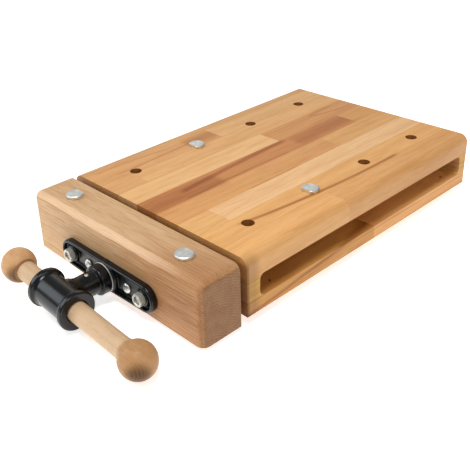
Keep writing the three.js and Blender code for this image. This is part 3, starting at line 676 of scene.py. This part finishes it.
def roundedOutline(lowX, lowY, highX, highY, radii, steps=10):
    # corners in order: low low, high low, high high, low high
    corners = [(lowX, lowY, 180), (highX, lowY, 270), (highX, highY, 0), (lowX, highY, 90)]
    outline = []
    for (x, y, turn), radius in zip(corners, radii):
        if not radius:
            outline.append((x, y))
            continue
        middleX = x + radius if x == lowX else x - radius
        middleY = y + radius if y == lowY else y - radius
        for i in range(steps + 1):
            angle = math.radians(turn + 90 * i / steps)
            outline.append((middleX + radius * math.cos(angle), middleY + radius * math.sin(angle)))
    return outline


def arc(radius, middle, start, end, steps):
    # points of an arc as [radius, distance] pairs, angles in degrees from the turning axis
    points = []
    for i in range(steps + 1):
        angle = math.radians(start + (end - start) * i / steps)
        points.append((middle[0] + radius * math.sin(angle), middle[1] + radius * math.cos(angle)))
    return points


# A piece's own Z laid along X or Y of the press, at a point in metres.
def alongX(x, y, z):
    return Matrix(((0, 0, 1, x), (1, 0, 0, y), (0, 1, 0, z), (0, 0, 0, 1)))


def alongY(x, y, z, lean=0.0):
    base = Matrix(((0, 1, 0, x), (0, 0, 1, y), (1, 0, 0, z), (0, 0, 0, 1)))
    tipped = Matrix.Translation((x, y, z)) @ Matrix.Rotation(lean, 4, "X") @ Matrix.Translation((-x, -y, -z))
    return tipped @ base


def alongZ(x, y, z):
    return Matrix.Translation((x, y, z))


def turned(name, profile, material, place, segments=72):
    return newPiece(name, turnShape(profile, segments), material, place)


def tool(shape, place):
    return newPiece("tool", shape, None, place)


def rod(radius, start, end, place, segments=64):
    return tool(turnShape([(0, start), (radius, start), (radius, end), (0, end)], segments), place)


def mount(piece, body, slot, *nodes):
    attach(piece, body)
    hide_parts(*nodes)
    return piece


def sides(name):
    return {side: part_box(f"{name}_{side}") for side in ("near", "far")}


def middleOf(box):
    return (box[0] + box[1]) / 2


# bed

bedLow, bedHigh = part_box("bed_block")
bedWidth = (bedHigh.y - bedLow.y) / mm
bedHeight = (bedHigh.z - bedLow.z) / mm
gapX = bedLow.x
screwAxis = Vector((gapX, 0, joints["screw_spin"]["pos_m"][2]))

bedSize = {
    "edgeRadius": 14.0,
    "pocketFront": 24.5,
    "pocketBack": 19.0,
    "pocketDepth": 84.0,
    "pocketFloor": 22.0,
    "pocketTop": 57.0,
    "pocketCorner": 9.0,
    "dogHoleRadius": 9.75,
    "fixingRadius": 2.75,
    "fixingInset": 17.3,
    "fixingPlaces": (61.0, 281.5, 502.0),
    "easedEdge": 0.9,
}


def bedBlank():
    rounding = bedSize["edgeRadius"]
    outline = roundedOutline(0, 0, bedWidth, bedHeight, (0, 0, rounding, rounding), 16)
    length = (bedHigh.x - bedLow.x) / mm
    return newPiece("bed", pushShape(outline, 0, length), None, alongX(bedLow.x, bedLow.y, bedLow.z))


def bedCutters():
    length = (bedHigh.x - bedLow.x) / mm
    corner = bedSize["pocketCorner"]
    cutters = []
    for sign in (-1, 1):
        outline = roundedOutline(
            bedSize["pocketFront"],
            bedSize["pocketFloor"],
            length - bedSize["pocketBack"],
            bedSize["pocketTop"],
            (corner,) * 4,
            12,
        )
        inner = bedWidth / 2 - bedSize["pocketDepth"]
        reach = (inner, bedWidth / 2 + 2) if sign < 0 else (-bedWidth / 2 - 2, -inner)
        turnedUp = Matrix(((1, 0, 0, bedLow.x), (0, 0, -1, 0), (0, 1, 0, bedLow.z), (0, 0, 0, 1)))
        cutters.append(tool(pushShape(outline, *reach), turnedUp))
        side = "near" if sign < 0 else "far"
        for number in (1, 2, 3, 4):
            if number == 2:
                centre = middleOf(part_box(f"bed_dog_{side}"))
                x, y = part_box(f"bed_dog_{side}")[1].x - 14 * mm, centre.y
            else:
                low, high = openings[f"dog_hole_{side}_{number}"]
                x, y = (low[0] + high[0]) / 2, (low[1] + high[1]) / 2
            cutters.append(rod(bedSize["dogHoleRadius"], 60, 130, alongZ(x, y, 0)))
        for place in bedSize["fixingPlaces"]:
            y = sign * (bedWidth / 2 - bedSize["fixingInset"])
            cutters.append(rod(bedSize["fixingRadius"], 0, 45, alongZ(bedLow.x + place * mm, y * mm, 0), 32))
    return cutters


def endBores():
    # what the nut, the bushes, the rods and the screw need in the end face at the gap
    tools = [rod(13, -2, 227, alongX(*screwAxis))]
    nutLow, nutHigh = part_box("screw_nut")
    half = (nutHigh.y - nutLow.y) / mm / 2 + 0.3
    tall = (nutHigh.z - nutLow.z) / mm / 2 + 0.3
    plateSeat = roundedOutline(-half, -tall, half, tall, (8.3,) * 4)
    tools.append(tool(pushShape(plateSeat, -2, 6.6), alongX(*screwAxis)))
    tools.append(rod(15.7, -2, 38.3, alongX(*screwAxis)))
    for low, high in sides("guide_bush").values():
        centre = middleOf((low, high))
        at = alongX(gapX, centre.y, centre.z)
        tools.append(rod(16.3, -2, 3.6, at))
        tools.append(rod(12.2, -2, 40.3, at))
        tools.append(rod(9.0, -2, 227, at))
    return tools


def buildBed():
    block = combine(bedBlank(), bedCutters())
    combine(block, endBores())
    cleanMesh(block)
    soften(block, bedSize["easedEdge"] * mm, 3, 28)
    block.data.transform(block.matrix_world)
    block.matrix_world = Matrix.Identity(4)
    block.data.materials.clear()
    block.data.materials.append(bedBeech(bedLow, bedHigh))
    mount(block, "bed", "beech", "bed_block")


buildBed()
print("bed built")


# nut and bushes in the end of the bed

crossRecess = {"width": 1.9, "span": 7.4, "depth": 2.6}


def crossCutters(place, size):
    # a tapered cross let into a head whose crown points along -Z of the piece
    tools = []
    for turn in (0, 90):
        outline = [
            (-size["span"] / 2, -0.5),
            (size["span"] / 2, -0.5),
            (size["span"] * 0.28, size["depth"]),
            (-size["span"] * 0.28, size["depth"]),
        ]
        blade = pushShape(outline, -size["width"] / 2, size["width"] / 2)
        spin = Matrix.Rotation(math.radians(turn + 20), 4, "Z") @ Matrix.Rotation(math.radians(90), 4, "X")
        tools.append(tool(blade, place @ spin))
    return tools


def buildNut():
    low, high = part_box("screw_nut")
    half, tall = (high.y - low.y) / mm / 2, (high.z - low.z) / mm / 2
    start, end = (low.x - gapX) / mm, (high.x - gapX) / mm
    at = alongX(*screwAxis)
    outline = roundedOutline(-half, -tall, half, tall, (8,) * 4, 12)
    plate = newPiece("screwNut", pushShape(outline, start, 6.3), None, at)
    combine(plate, [rod(15.5, 5, end, at)], "UNION")
    cutters = [rod(11.1, -5, end + 5, at)]
    for name in ("nut_screw_near", "nut_screw_far"):
        centre = middleOf(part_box(name))
        spot = alongX(gapX, centre.y, centre.z)
        cutters += [rod(4.8, -2, 3.2, spot), rod(2.6, -2, 8, spot)]
    combine(plate, cutters)
    soften(cleanMesh(plate), 0.5 * mm, 2)
    plate.data.materials.append(brightSteel)
    mount(plate, "bed", "steel", "screw_nut")


def buildNutScrews():
    for name in ("nut_screw_near", "nut_screw_far"):
        low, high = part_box(name)
        centre = middleOf((low, high))
        length = (high.x - low.x) / mm
        profile = [(0, 0), (3.6, 0), (4.3, 0.4), (4.6, 1.1), (4.6, 2.5)]
        profile += [(2.4, 2.6), (2.4, length - 3), (0, length)]
        at = alongX(low.x, centre.y, centre.z)
        piece = turned(name.replace("_", "") + "Head", profile, zincPlate, at, 40)
        combine(piece, crossCutters(at, {"width": 1.2, "span": 4.6, "depth": 1.6}))
        shadeSmooth(piece)
        mount(piece, "bed", "zinc", name)


def buildBushes():
    for side, (low, high) in sides("guide_bush").items():
        centre = middleOf((low, high))
        length = (high.x - low.x) / mm
        profile = [(8.1, 0.8), (8.9, 0), (15.4, 0), (16, 0.6), (16, 3), (12, 3), (12, length), (8.1, length)]
        piece = turned(f"guideBush_{side}", profile, bushingNylon, alongX(low.x, centre.y, centre.z), 64)
        mount(shadeSmooth(piece), "bed", "bushing", f"guide_bush_{side}")


def buildFeet():
    for place in ("front_near", "front_far", "back_near", "back_far"):
        low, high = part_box(f"foot_{place}")
        centre = middleOf((low, high))
        top = (high.z - low.z) / mm
        profile = [(5.8, 0), (14.8, 0), (15.7, 0.35), (16.1, 1.2)]
        profile += [(17.5, top - 1.2), (17.9, top - 0.6), (17.9, top)]
        profile += [(2.6, top), (2.6, top - 6), (5.8, top - 6)]
        foot = turned(f"foot_{place}_pad", profile, footRubber, alongZ(centre.x, centre.y, low.z), 64)
        mount(shadeSmooth(foot), "bed", "rubber", f"foot_{place}")
        low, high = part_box(f"foot_screw_{place}")
        tall = (high.z - low.z) / mm
        profile = [(0, 0), (3.4, 0.1), (4.7, 0.7), (5.4, 1.9), (5.4, 3.4)]
        profile += [(2.4, 3.4), (2.4, tall - 3), (0, tall)]
        at = alongZ(centre.x, centre.y, low.z)
        screw = turned(f"footScrew_{place}", profile, zincPlate, at, 40)
        combine(screw, crossCutters(at, {"width": 1.2, "span": 5.0, "depth": 1.7}))
        mount(shadeSmooth(screw), "bed", "zinc", f"foot_screw_{place}")


buildNut()
buildNutScrews()
buildBushes()
buildFeet()
print("nut, bushes and feet built")


# dogs

dogSize = {"headRadius": 14.0, "shankRadius": 9.4, "bevelWidth": 1.8, "bevelHeight": 1.2, "flatInset": 3.5}


def buildDog(name, body, workingSide):
    low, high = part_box(name)
    radius = dogSize["headRadius"]
    centreX = (high.x - radius * mm) if workingSide < 0 else (low.x + radius * mm)
    centreY = middleOf((low, high)).y
    top = (high.z - bedHigh.z) / mm
    bottom = (low.z - bedHigh.z) / mm
    shank = dogSize["shankRadius"]
    profile = [(0, bottom), (shank - 1.8, bottom), (shank - 0.5, bottom + 0.8)]
    profile += [(shank, bottom + 2), (shank, 0.3)]
    profile += [(radius - 0.3, 0.3), (radius, 0.6), (radius, top - dogSize["bevelHeight"])]
    profile += [(radius - dogSize["bevelWidth"], top), (0, top)]
    at = alongZ(centreX, centreY, bedHigh.z)
    dog = turned(f"{name}_peg", profile, None, at, 96)
    flat = radius - dogSize["flatInset"]
    edges = sorted((workingSide * flat, workingSide * 2 * radius))
    chip = [(edges[0], -20), (edges[1], -20), (edges[1], 20), (edges[0], 20)]
    slot = [(-3.2, -20), (3.2, -20), (3.2, -shank + 2.2), (-3.2, -shank + 2.2)]
    combine(dog, [tool(pushShape(chip, 0.15, 12), at), tool(pushShape(slot, bottom + 5, -5), at)])
    soften(dog, 0.25 * mm, 2, 25)
    dog.data.materials.append(zincTurned)
    mount(dog, body, "zinc", name)
    spring = frame["nodes"][f"{name}_spring"]
    spring.data.materials.clear()
    spring.data.materials.append(springSteel)


for dogName, side in (("bed_dog_near", -1), ("bed_dog_far", -1), ("jaw_dog_near", 1), ("jaw_dog_far", 1)):
    buildDog(dogName, dogName, side)
print("dogs built")


# jaw

jawLow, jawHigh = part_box("jaw_block")
jawSize = {"cornerRadius": 12.0, "dogHoleRadius": 9.75, "easedEdge": 0.9}


def jawBlank():
    # a block whose front and top edges are rounded, and whose back face stays square
    shape = bmesh.new()
    bmesh.ops.create_cube(shape, size=1)
    size = jawHigh - jawLow
    bmesh.ops.scale(shape, vec=size, verts=shape.verts)
    bmesh.ops.translate(shape, vec=middleOf((jawLow, jawHigh)), verts=shape.verts)

    def isRounded(edge):
        ends = [vert.co for vert in edge.verts]
        onFront = all(abs(end.x - jawLow.x) < 1e-5 for end in ends)
        onTop = all(abs(end.z - jawHigh.z) < 1e-5 for end in ends)
        upright = abs(ends[0].z - ends[1].z) > 1e-5
        acrossX = abs(ends[0].x - ends[1].x) > 1e-5
        return (onFront and (onTop or upright)) or (onTop and acrossX)

    edges = [edge for edge in shape.edges if isRounded(edge)]
    bmesh.ops.bevel(
        shape,
        geom=edges,
        offset=jawSize["cornerRadius"] * mm,
        segments=12,
        profile=0.5,
        affect="EDGES",
    )
    return newPiece("jaw", shape, None)


def buildJaw():
    block = jawBlank()
    cutters = []
    for side in ("near", "far"):
        low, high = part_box(f"jaw_dog_{side}")
        at = alongZ(low.x + 14 * mm, middleOf((low, high)).y, 0)
        cutters.append(rod(jawSize["dogHoleRadius"], -5, 130, at))
        low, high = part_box(f"rod_washer_{side}")
        centre = middleOf((low, high))
        cutters.append(rod(6.4, -80, 20, alongX(jawHigh.x, centre.y, centre.z), 48))
        cutters.append(rod(15.4, -3.6, 5, alongX(jawHigh.x, centre.y, centre.z)))
        low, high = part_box(f"flange_screw_{side}")
        centre = middleOf((low, high))
        cutters.append(rod(3.0, -5, 42, alongX(jawLow.x, centre.y, centre.z), 32))
    cutters.append(rod(12, -80, 20, alongX(jawHigh.x, screwAxis.y, screwAxis.z)))
    cutters.append(rod(20, -5, 5, alongX(jawHigh.x, screwAxis.y, screwAxis.z)))
    combine(block, cutters)
    cleanMesh(block)
    soften(block, jawSize["easedEdge"] * mm, 3, 28)
    block.data.materials.append(jawBeech(jawLow, jawHigh))
    mount(block, "jaw", "jaw_beech", "jaw_block")


buildJaw()
print("jaw built")


# castings

castingGrain = {"voxel": 0.8 * mm, "smoothing": 3}


def castSkin(piece, keepCrisp=None):
    # one skin over joined shapes, with the corners run together as in a casting
    step = piece.modifiers.new("skin", "REMESH")
    step.mode = "VOXEL"
    step.voxel_size = castingGrain["voxel"]
    settle(piece)
    group = piece.vertex_groups.new(name="cast")
    for vertex in piece.data.vertices:
        crisp = keepCrisp is not None and keepCrisp(vertex.co)
        group.add([vertex.index], 0.0 if crisp else 1.0, "REPLACE")
    step = piece.modifiers.new("run", "SMOOTH")
    step.factor = 0.5
    step.iterations = castingGrain["smoothing"]
    step.vertex_group = "cast"
    settle(piece)
    piece.vertex_groups.clear()
    piece.data.polygons.foreach_set("use_smooth", [True] * len(piece.data.polygons))
    return piece


def hullOutline(discs, steps=96):
    # the outer tangent outline round several discs, each (x, y, radius)
    points = []
    for i in range(steps):
        angle = 2 * math.pi * i / steps
        ahead = (math.cos(angle), math.sin(angle))
        x, y, radius = max(discs, key=lambda disc: disc[0] * ahead[0] + disc[1] * ahead[1] + disc[2])
        points.append((x + radius * ahead[0], y + radius * ahead[1]))
    return points


flangeSize = {
    "endRadius": 21.5,
    "endOffset": 85.5,
    "endRise": 2.8,
    "midRadius": 22.0,
    "thickness": 10.5,
    "rim": 4.2,
    "floor": 4.0,
    "chamfer": 1.6,
    "bossRadius": 12.5,
    "bossHeight": 8.7,
    "hubRadius": 25.0,
    "hubHeight": 11.0,
}


def flangeOutline(inset):
    size = flangeSize
    discs = [
        (-size["endOffset"], size["endRise"], size["endRadius"] - inset),
        (0, 0, size["midRadius"] - inset),
        (size["endOffset"], size["endRise"], size["endRadius"] - inset),
    ]
    return hullOutline(discs)


def taperShape(low, high, start, end):
    # two outlines with the same number of points, joined
    shape = bmesh.new()
    first = [shape.verts.new((x * mm, y * mm, start * mm)) for x, y in low]
    second = [shape.verts.new((x * mm, y * mm, end * mm)) for x, y in high]
    shape.faces.new(first[::-1])
    shape.faces.new(second)
    for i in range(len(low)):
        j = (i + 1) % len(low)
        shape.faces.new((first[i], first[j], second[j], second[i]))
    return shape


def buildFlange():
    low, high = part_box("jaw_flange")
    size = flangeSize
    at = alongX(high.x, 0, screwAxis.z)
    thick = size["thickness"]
    flange = newPiece("flange", pushShape(flangeOutline(0), -thick + size["chamfer"], -0.1), None, at)
    bevel = size["chamfer"]
    edge = tool(taperShape(flangeOutline(bevel), flangeOutline(0), -thick, -thick + bevel), at)
    combine(flange, [edge], "UNION")
    recess = taperShape(
        flangeOutline(size["rim"]), flangeOutline(size["rim"] + 1.2), -thick - 1, -size["floor"]
    )
    combine(flange, [tool(recess, at)])
    bosses = []
    for low, high in sides("guide_rod").values():
        centre = middleOf((low, high))
        spot = alongX(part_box("jaw_flange")[1].x, centre.y, centre.z)
        radius = size["bossRadius"]
        boss = -size["bossHeight"]
        profile = [(0, boss), (radius - 0.5, boss), (radius, boss + 0.7)]
        profile += [(radius + 0.8, -size["floor"] + 0.5), (radius + 0.8, -1), (0, -1)]
        bosses.append(tool(turnShape(profile, 64), spot))
    radius = size["hubRadius"]
    hub = -size["hubHeight"]
    profile = [(0, hub), (radius - 2, hub), (radius, hub + 2), (radius, -1)]
    bosses.append(tool(turnShape(profile + [(0, -1)], 72), at))
    combine(flange, bosses, "UNION")
    holes = [rod(11.5, -15, 5, at)]
    for name in ("guide_rod", "flange_screw"):
        for box in sides(name).values():
            centre = middleOf(box)
            spot = alongX(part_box("jaw_flange")[1].x, centre.y, centre.z)
            holes.append(rod(6.4 if name == "guide_rod" else 3.2, -15, 5, spot, 40))
    combine(flange, holes)
    flange.data.transform(flange.matrix_world)
    flange.matrix_world = Matrix.Identity(4)
    castSkin(flange)
    flange.data.materials.append(blackEnamel)
    mount(flange, "jaw", "cast_iron", "jaw_flange")


headSize = {
    "collarRadius": 22.5,
    "collarLength": 15.0,
    "collarChamfer": 2.2,
    "neckRadius": 17.6,
    "flareRadius": 21.5,
    "flareLength": 12.0,
    "sleeveRadius": 24.6,
    "sleeveHalf": 40.0,
    "rimRadius": 29.0,
    "rimWidth": 9.0,
    "rimEdge": 1.9,
    "bore": 15.4,
    "pinRadius": 2.9,
}
handleAxis = Vector(joints["handle_slide"]["axis"]).normalized()
lean = math.atan2(handleAxis.z, handleAxis.y)


def buildHead():
    low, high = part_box("screw_head")
    size = headSize
    sleeveAt = (high.x - low.x) / mm - size["rimRadius"]  # from the collar's back face
    at = alongX(high.x, 0, screwAxis.z)
    collarFront = -size["collarLength"]
    flareStart = -sleeveAt + size["sleeveRadius"] * 0.8
    profile = [(0, -sleeveAt), (size["flareRadius"], -sleeveAt), (size["flareRadius"], flareStart)]
    for i in range(1, 9):
        share = i / 8
        swell = (1 - share) ** 2
        radius = size["neckRadius"] + (size["flareRadius"] - size["neckRadius"]) * swell
        profile.append((radius, flareStart + size["flareLength"] * share))
    collar, bevel = size["collarRadius"], size["collarChamfer"]
    profile += [(size["neckRadius"], collarFront), (collar - bevel, collarFront)]
    profile += [(collar, collarFront + bevel), (collar, -0.1), (0, -0.1)]
    head = turned("head", profile, None, at, 96)
    half, edge, rim = size["sleeveHalf"], size["rimEdge"], size["rimRadius"]
    outline = [(size["sleeveRadius"], half - size["rimWidth"] - 4)]
    outline.append((size["sleeveRadius"] + 1.2, half - size["rimWidth"] - 1.4))
    outline.append((rim - edge, half - size["rimWidth"]))
    outline += arc(edge, (rim - edge, half - size["rimWidth"] + edge), 180, 90, 6)[1:]
    outline += arc(edge, (rim - edge, half - edge), 90, 0, 6)
    mirrored = [(radius, -distance) for radius, distance in outline][::-1]
    sleeveAtX = alongY(low.x + rim * mm, 0, screwAxis.z, lean)
    sleeve = tool(turnShape([(0, -half)] + mirrored + outline + [(0, half)], 96), sleeveAtX)
    combine(head, [sleeve], "UNION")
    bore = size["bore"]
    profile = [(0, -half - 1), (bore + 3, -half - 1), (bore + 1.2, -half + 0.8), (bore, -half + 2.4)]
    profile += [(bore, half - 2.4), (bore + 1.2, half - 0.8), (bore + 3, half + 1), (0, half + 1)]
    cutters = [tool(turnShape(profile, 72), sleeveAtX), rod(11.2, -46, 2, at)]
    pinLow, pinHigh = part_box("head_pin")
    pinAt = Matrix.Translation(middleOf((pinLow, pinHigh))) @ Matrix.Rotation(lean, 4, "X")
    cutters.append(rod(size["pinRadius"] + 0.2, -25, 25, pinAt, 40))
    combine(head, cutters)
    head.data.transform(head.matrix_world)
    head.matrix_world = Matrix.Identity(4)
    crispFrom = high.x + (collarFront - 1.5) * mm
    castSkin(head, lambda place: place.x > crispFrom)
    head.data.materials.append(blackEnamel)
    mount(head, "screw", "cast_iron", "screw_head")
    reach = (pinHigh.z - pinLow.z) / mm / 2
    radius = size["pinRadius"]
    profile = [(0, -reach), (radius - 0.7, -reach), (radius, -reach + 0.5), (radius, reach - 0.5)]
    profile += [(radius - 0.7, reach - 0.05), (0, reach)]
    pin = turned("headPin", profile, zincTurned, pinAt, 48)
    mount(shadeSmooth(pin), "screw", "zinc", "head_pin")


buildFlange()
buildHead()
print("castings built")


# screw, rods and small hardware

threadSize = {"pitch": 6.0, "depth": 2.4, "crest": 0.34, "root": 0.34}


def threadRadius(share, radius, size):
    # the height of a trapezoidal thread at a share of its pitch
    slope = (1 - size["crest"] - size["root"]) / 2
    share = share % 1
    if share < size["crest"]:
        return radius
    if share < size["crest"] + slope:
        return radius - size["depth"] * (share - size["crest"]) / slope
    if share < size["crest"] + slope + size["root"]:
        return radius - size["depth"]
    return radius - size["depth"] * (1 - (share - size["crest"] - slope - size["root"]) / slope)


def threadedShape(radius, start, end, plain, size, segments=40, step=0.75):
    # a right-hand thread about Z; plain tells the radius where there is no thread, or None
    shape = bmesh.new()
    count = round((end - start) / step)
    rings = []
    for i in range(count + 1):
        distance = start + (end - start) * i / count
        ring = []
        for k in range(segments):
            angle = 2 * math.pi * k / segments
            fixed = plain(distance)
            turn = distance / size["pitch"] - k / segments
            own = fixed if fixed is not None else threadRadius(turn, radius, size)
            place = (own * mm * math.cos(angle), own * mm * math.sin(angle), distance * mm)
            ring.append(shape.verts.new(place))
        rings.append(ring)
    for first, second in zip(rings, rings[1:]):
        for k in range(segments):
            j = (k + 1) % segments
            shape.faces.new((first[k], first[j], second[j], second[k]))
    for ring in (rings[0][::-1], rings[-1]):
        shape.faces.new(ring)
    return shape


def buildLeadScrew():
    low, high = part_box("lead_screw")
    start, end = (low.x - gapX) / mm, (high.x - gapX) / mm
    clipLow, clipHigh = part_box("retaining_clip")
    grooveStart, grooveEnd = (clipLow.x - gapX) / mm - 0.2, (clipHigh.x - gapX) / mm + 0.2

    def plain(distance):
        if grooveStart < distance < grooveEnd:
            return 8.5
        if distance < grooveEnd + 1.5:
            return 11.0
        if distance > end - 2:
            return 11.0 - (distance - end + 2) - 0.6
        return None

    shape = threadedShape(11.0, start, end, plain, threadSize)
    piece = newPiece("leadScrew", shape, brightSteel, alongX(gapX, 0, screwAxis.z))
    shadeSmooth(piece, 24)
    mount(piece, "screw", "steel", "lead_screw")
    clip = frame["nodes"]["retaining_clip"]
    clip.data.materials.clear()
    clip.data.materials.append(springSteel)


def buildRods():
    for side, (low, high) in sides("guide_rod").items():
        centre = middleOf((low, high))
        end = (high.x - low.x) / mm
        shoulder = (jawHigh.x - low.x) / mm - 0.3
        profile = [(0, 0), (4.9, 0), (5.9, 1.0)]
        for i in range(9):
            at = 1.4 + i * 1.5
            profile += [(5.9, at), (5.25, at + 0.55), (5.25, at + 0.8), (5.9, at + 1.35)]
        profile += [(5.95, 16), (5.95, shoulder), (7.6, shoulder), (8, shoulder + 0.4)]
        profile += [(8, end - 2), (6.2, end), (0, end)]
        piece = turned(f"guideRod_{side}", profile, brightSteel, alongX(low.x, centre.y, centre.z), 64)
        mount(shadeSmooth(piece), "jaw", "steel", f"guide_rod_{side}")


def buildWashers():
    low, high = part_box("thrust_washer")
    thick = (high.x - low.x) / mm
    radius = (high.z - low.z) / mm / 2
    profile = [(11.5, 0.2), (11.7, 0), (radius - 0.35, 0), (radius, 0.35), (radius, thick - 0.3)]
    profile += [(radius - 0.3, thick), (11.5, thick)]
    washer = turned("thrustWasher", profile, zincTurned, alongX(low.x, 0, screwAxis.z), 96)
    mount(shadeSmooth(washer), "jaw", "zinc", "thrust_washer")
    for side, (low, high) in sides("rod_washer").items():
        centre = middleOf((low, high))
        profile = [(6.3, 0), (14.6, 0), (15, 0.4), (15, 2.6), (14.6, 3), (6.3, 3)]
        piece = turned(f"rodWasher_{side}", profile, zincTurned, alongX(low.x, centre.y, centre.z), 72)
        mount(shadeSmooth(piece), "jaw", "zinc", f"rod_washer_{side}")


def buildRodNuts():
    for side, (low, high) in sides("rod_nut").items():
        centre = middleOf((low, high))
        tall = (high.x - low.x) / mm
        flats = 9.0
        corner = flats / math.cos(math.pi / 6)
        at = alongX(low.x, centre.y, centre.z)
        outline = []
        for i in range(6):
            angle = math.radians(60 * i)
            outline.append((corner * math.cos(angle), corner * math.sin(angle)))
        nut = newPiece(f"rodNut_{side}", pushShape(outline, 0, tall), None, at)
        drop = corner - flats
        profile = [(0, 0), (flats - 0.1, 0), (corner + 0.02, drop * 0.75)]
        profile += [(corner + 0.02, tall - drop * 0.75)]
        profile += [(flats - 0.1, tall), (0, tall)]
        combine(nut, [tool(turnShape(profile, 96), at)], "INTERSECT")
        bore = [(0, -1), (7.4, -1), (6.2, 0.9), (6.2, tall - 0.9), (7.4, tall + 1), (0, tall + 1)]
        combine(nut, [tool(turnShape(bore, 64), at)])
        soften(nut, 0.25 * mm, 2, 24)
        nut.data.materials.append(nutZinc)
        mount(nut, "jaw", "zinc", f"rod_nut_{side}")


def buildFlangeScrews():
    for side, (low, high) in sides("flange_screw").items():
        centre = middleOf((low, high))
        length = (high.x - low.x) / mm
        crown, radius = 4.6, 8.0
        profile = []
        for i in range(11):
            angle = math.radians(9 * i)
            profile.append((radius * math.sin(angle), (crown - 0.6) * (1 - math.cos(angle))))
        profile += [(radius, crown), (2.8, crown), (2.8, length - 5), (0, length)]
        profile[0] = (0, 0)
        at = alongX(low.x, centre.y, centre.z)
        screw = turned(f"flangeScrew_{side}", profile, None, at, 72)
        combine(screw, crossCutters(at, crossRecess))
        soften(screw, 0.15 * mm, 2, 30)
        screw.data.materials.append(zincPlate)
        mount(screw, "jaw", "zinc", f"flange_screw_{side}")


buildLeadScrew()
buildRods()
buildWashers()
buildRodNuts()
buildFlangeScrews()
print("screw, rods and small hardware built")


# handle

handleSize = {
    "radius": 15.0,
    "ballRadius": 26.3,
    "neckRise": 2.4,
    "neckBlend": 15.0,
    "tenonRadius": 10.0,
    "shoulder": 19.0,
}


def levelled(piece, level):
    # the lean goes into the mesh, so the piece's own box stays square to the press
    piece.data.transform(level.inverted() @ piece.matrix_world)
    piece.matrix_world = level
    return piece


def buildHandle():
    size = handleSize
    radius, ball = size["radius"], size["ballRadius"]
    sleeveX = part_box("screw_head")[0].x + headSize["rimRadius"] * mm
    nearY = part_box("handle_bar")[0].y + ball * mm
    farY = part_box("handle_ball")[1].y - ball * mm
    nearAlong = nearY / handleAxis.y / mm
    farAlong = farY / handleAxis.y / mm
    at = alongY(sleeveX, 0, screwAxis.z, lean)
    level = alongY(sleeveX, 0, screwAxis.z)
    meet = math.degrees(math.asin((radius + size["neckRise"]) / ball))
    profile = arc(ball, (0, nearAlong), 180, meet, 40)
    profile[0] = (0, nearAlong - ball)
    edge = profile[-1]
    for i in range(1, 9):  # the hollow between ball and bar
        share = i / 8
        blended = radius + (edge[0] - radius) * (1 - share) ** 2.2
        profile.append((blended, edge[1] + size["neckBlend"] * share))
    shoulder = farAlong - size["shoulder"]
    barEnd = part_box("handle_bar")[1].y / handleAxis.y / mm
    barEnd = min(barEnd, shoulder + 24)
    profile += [(radius, shoulder - 0.8), (radius - 0.8, shoulder), (size["tenonRadius"], shoulder)]
    profile += [(size["tenonRadius"], barEnd), (0, barEnd)]
    ballStart = nearAlong + ball * math.cos(math.radians(meet))
    material = handleBeech("handleBeech", "near", (ballStart + 7, ballStart - 3), 61.7)
    bar = levelled(turned("handleBar", profile, material, at, 112), level)
    mount(shadeSmooth(bar), "handle", "handle_beech", "handle_bar")
    face = shoulder + 0.3
    opening = math.degrees(math.acos((face - farAlong) / ball))
    dome = arc(ball, (0, farAlong), opening, 0, 40)
    lip = dome[0]
    dome[-1] = (0, farAlong + ball)
    tenon = size["tenonRadius"] + 0.2
    profile = [(0, barEnd + 0.3), (tenon, barEnd + 0.3), (tenon, face)]
    profile += [(lip[0] - 1.0, face), (lip[0] - 0.2, face + 0.35)] + dome[1:]
    material = handleBeech("ballBeech", "far", (face - 2, face - 1), 83.1)
    farBall = levelled(turned("handleBall", profile, material, at, 112), level)
    mount(shadeSmooth(farBall), "handle", "handle_beech", "handle_ball")


buildHandle()
print("handle built")


# studio

studio = {
    "floorTone": (246, 246, 245),
    "floorGlow": 0.62,
    "floorSize": 40.0,
    "skyTone": (1.0, 0.99, 0.97, 1),
    "skyStrength": 0.36,
    "lights": [
        {"at": (-0.9, -0.5, 2.3), "aim": (-0.1, 0, 0.05), "size": (0.9, 0.8), "watts": 38},
        {"at": (0.2, -1.9, 1.3), "aim": (0.1, 0, 0.05), "size": (1.0, 0.7), "watts": 5},
        {
            "at": (-1.3, 1.3, 1.1),
            "aim": (-0.3, 0, 0.05),
            "size": (1.0, 1.2),
            "watts": 12,
            "tint": (0.88, 0.97, 1.05),
        },
        {"at": (1.9, 2.1, 1.35), "aim": (0, 0, 0.05), "size": (2.6, 1.3), "watts": 8},
    ],
}


def addStudio(setup):
    scene = bpy.context.scene
    scene.view_settings.view_transform = "Standard"
    scene.view_settings.look = "None"
    world = bpy.data.worlds.new("studio")
    world.use_nodes = True
    sky = world.node_tree.nodes["Background"]
    sky.inputs["Color"].default_value = setup["skyTone"]
    sky.inputs["Strength"].default_value = setup["skyStrength"]
    scene.world = world
    for number, light in enumerate(setup["lights"]):
        data = bpy.data.lights.new(f"softLight{number}", "AREA")
        data.shape = "RECTANGLE"
        data.size, data.size_y = light["size"]
        data.energy = light["watts"]
        data.color = light.get("tint", (1, 1, 1))
        lamp = bpy.data.objects.new(f"softLight{number}", data)
        lamp.location = light["at"]
        direction = Vector(light["aim"]) - Vector(light["at"])
        lamp.rotation_euler = direction.to_track_quat("-Z", "Y").to_euler()
        scene.collection.objects.link(lamp)
    half = setup["floorSize"] / 2
    shape = bmesh.new()
    corners = ((-half, -half), (half, -half), (half, half), (-half, half))
    shape.faces.new([shape.verts.new((x, y, 0)) for x, y in corners])
    paint = Paint("studioFloor", Roughness=0.9)
    paint.set({"Base Color": linear(*setup["floorTone"]), "Emission Color": (1, 1, 1, 1)})
    paint.set({"Emission Strength": setup["floorGlow"]})
    floor = newPiece("floor", shape, paint.material)


addStudio(studio)
print("studio built")
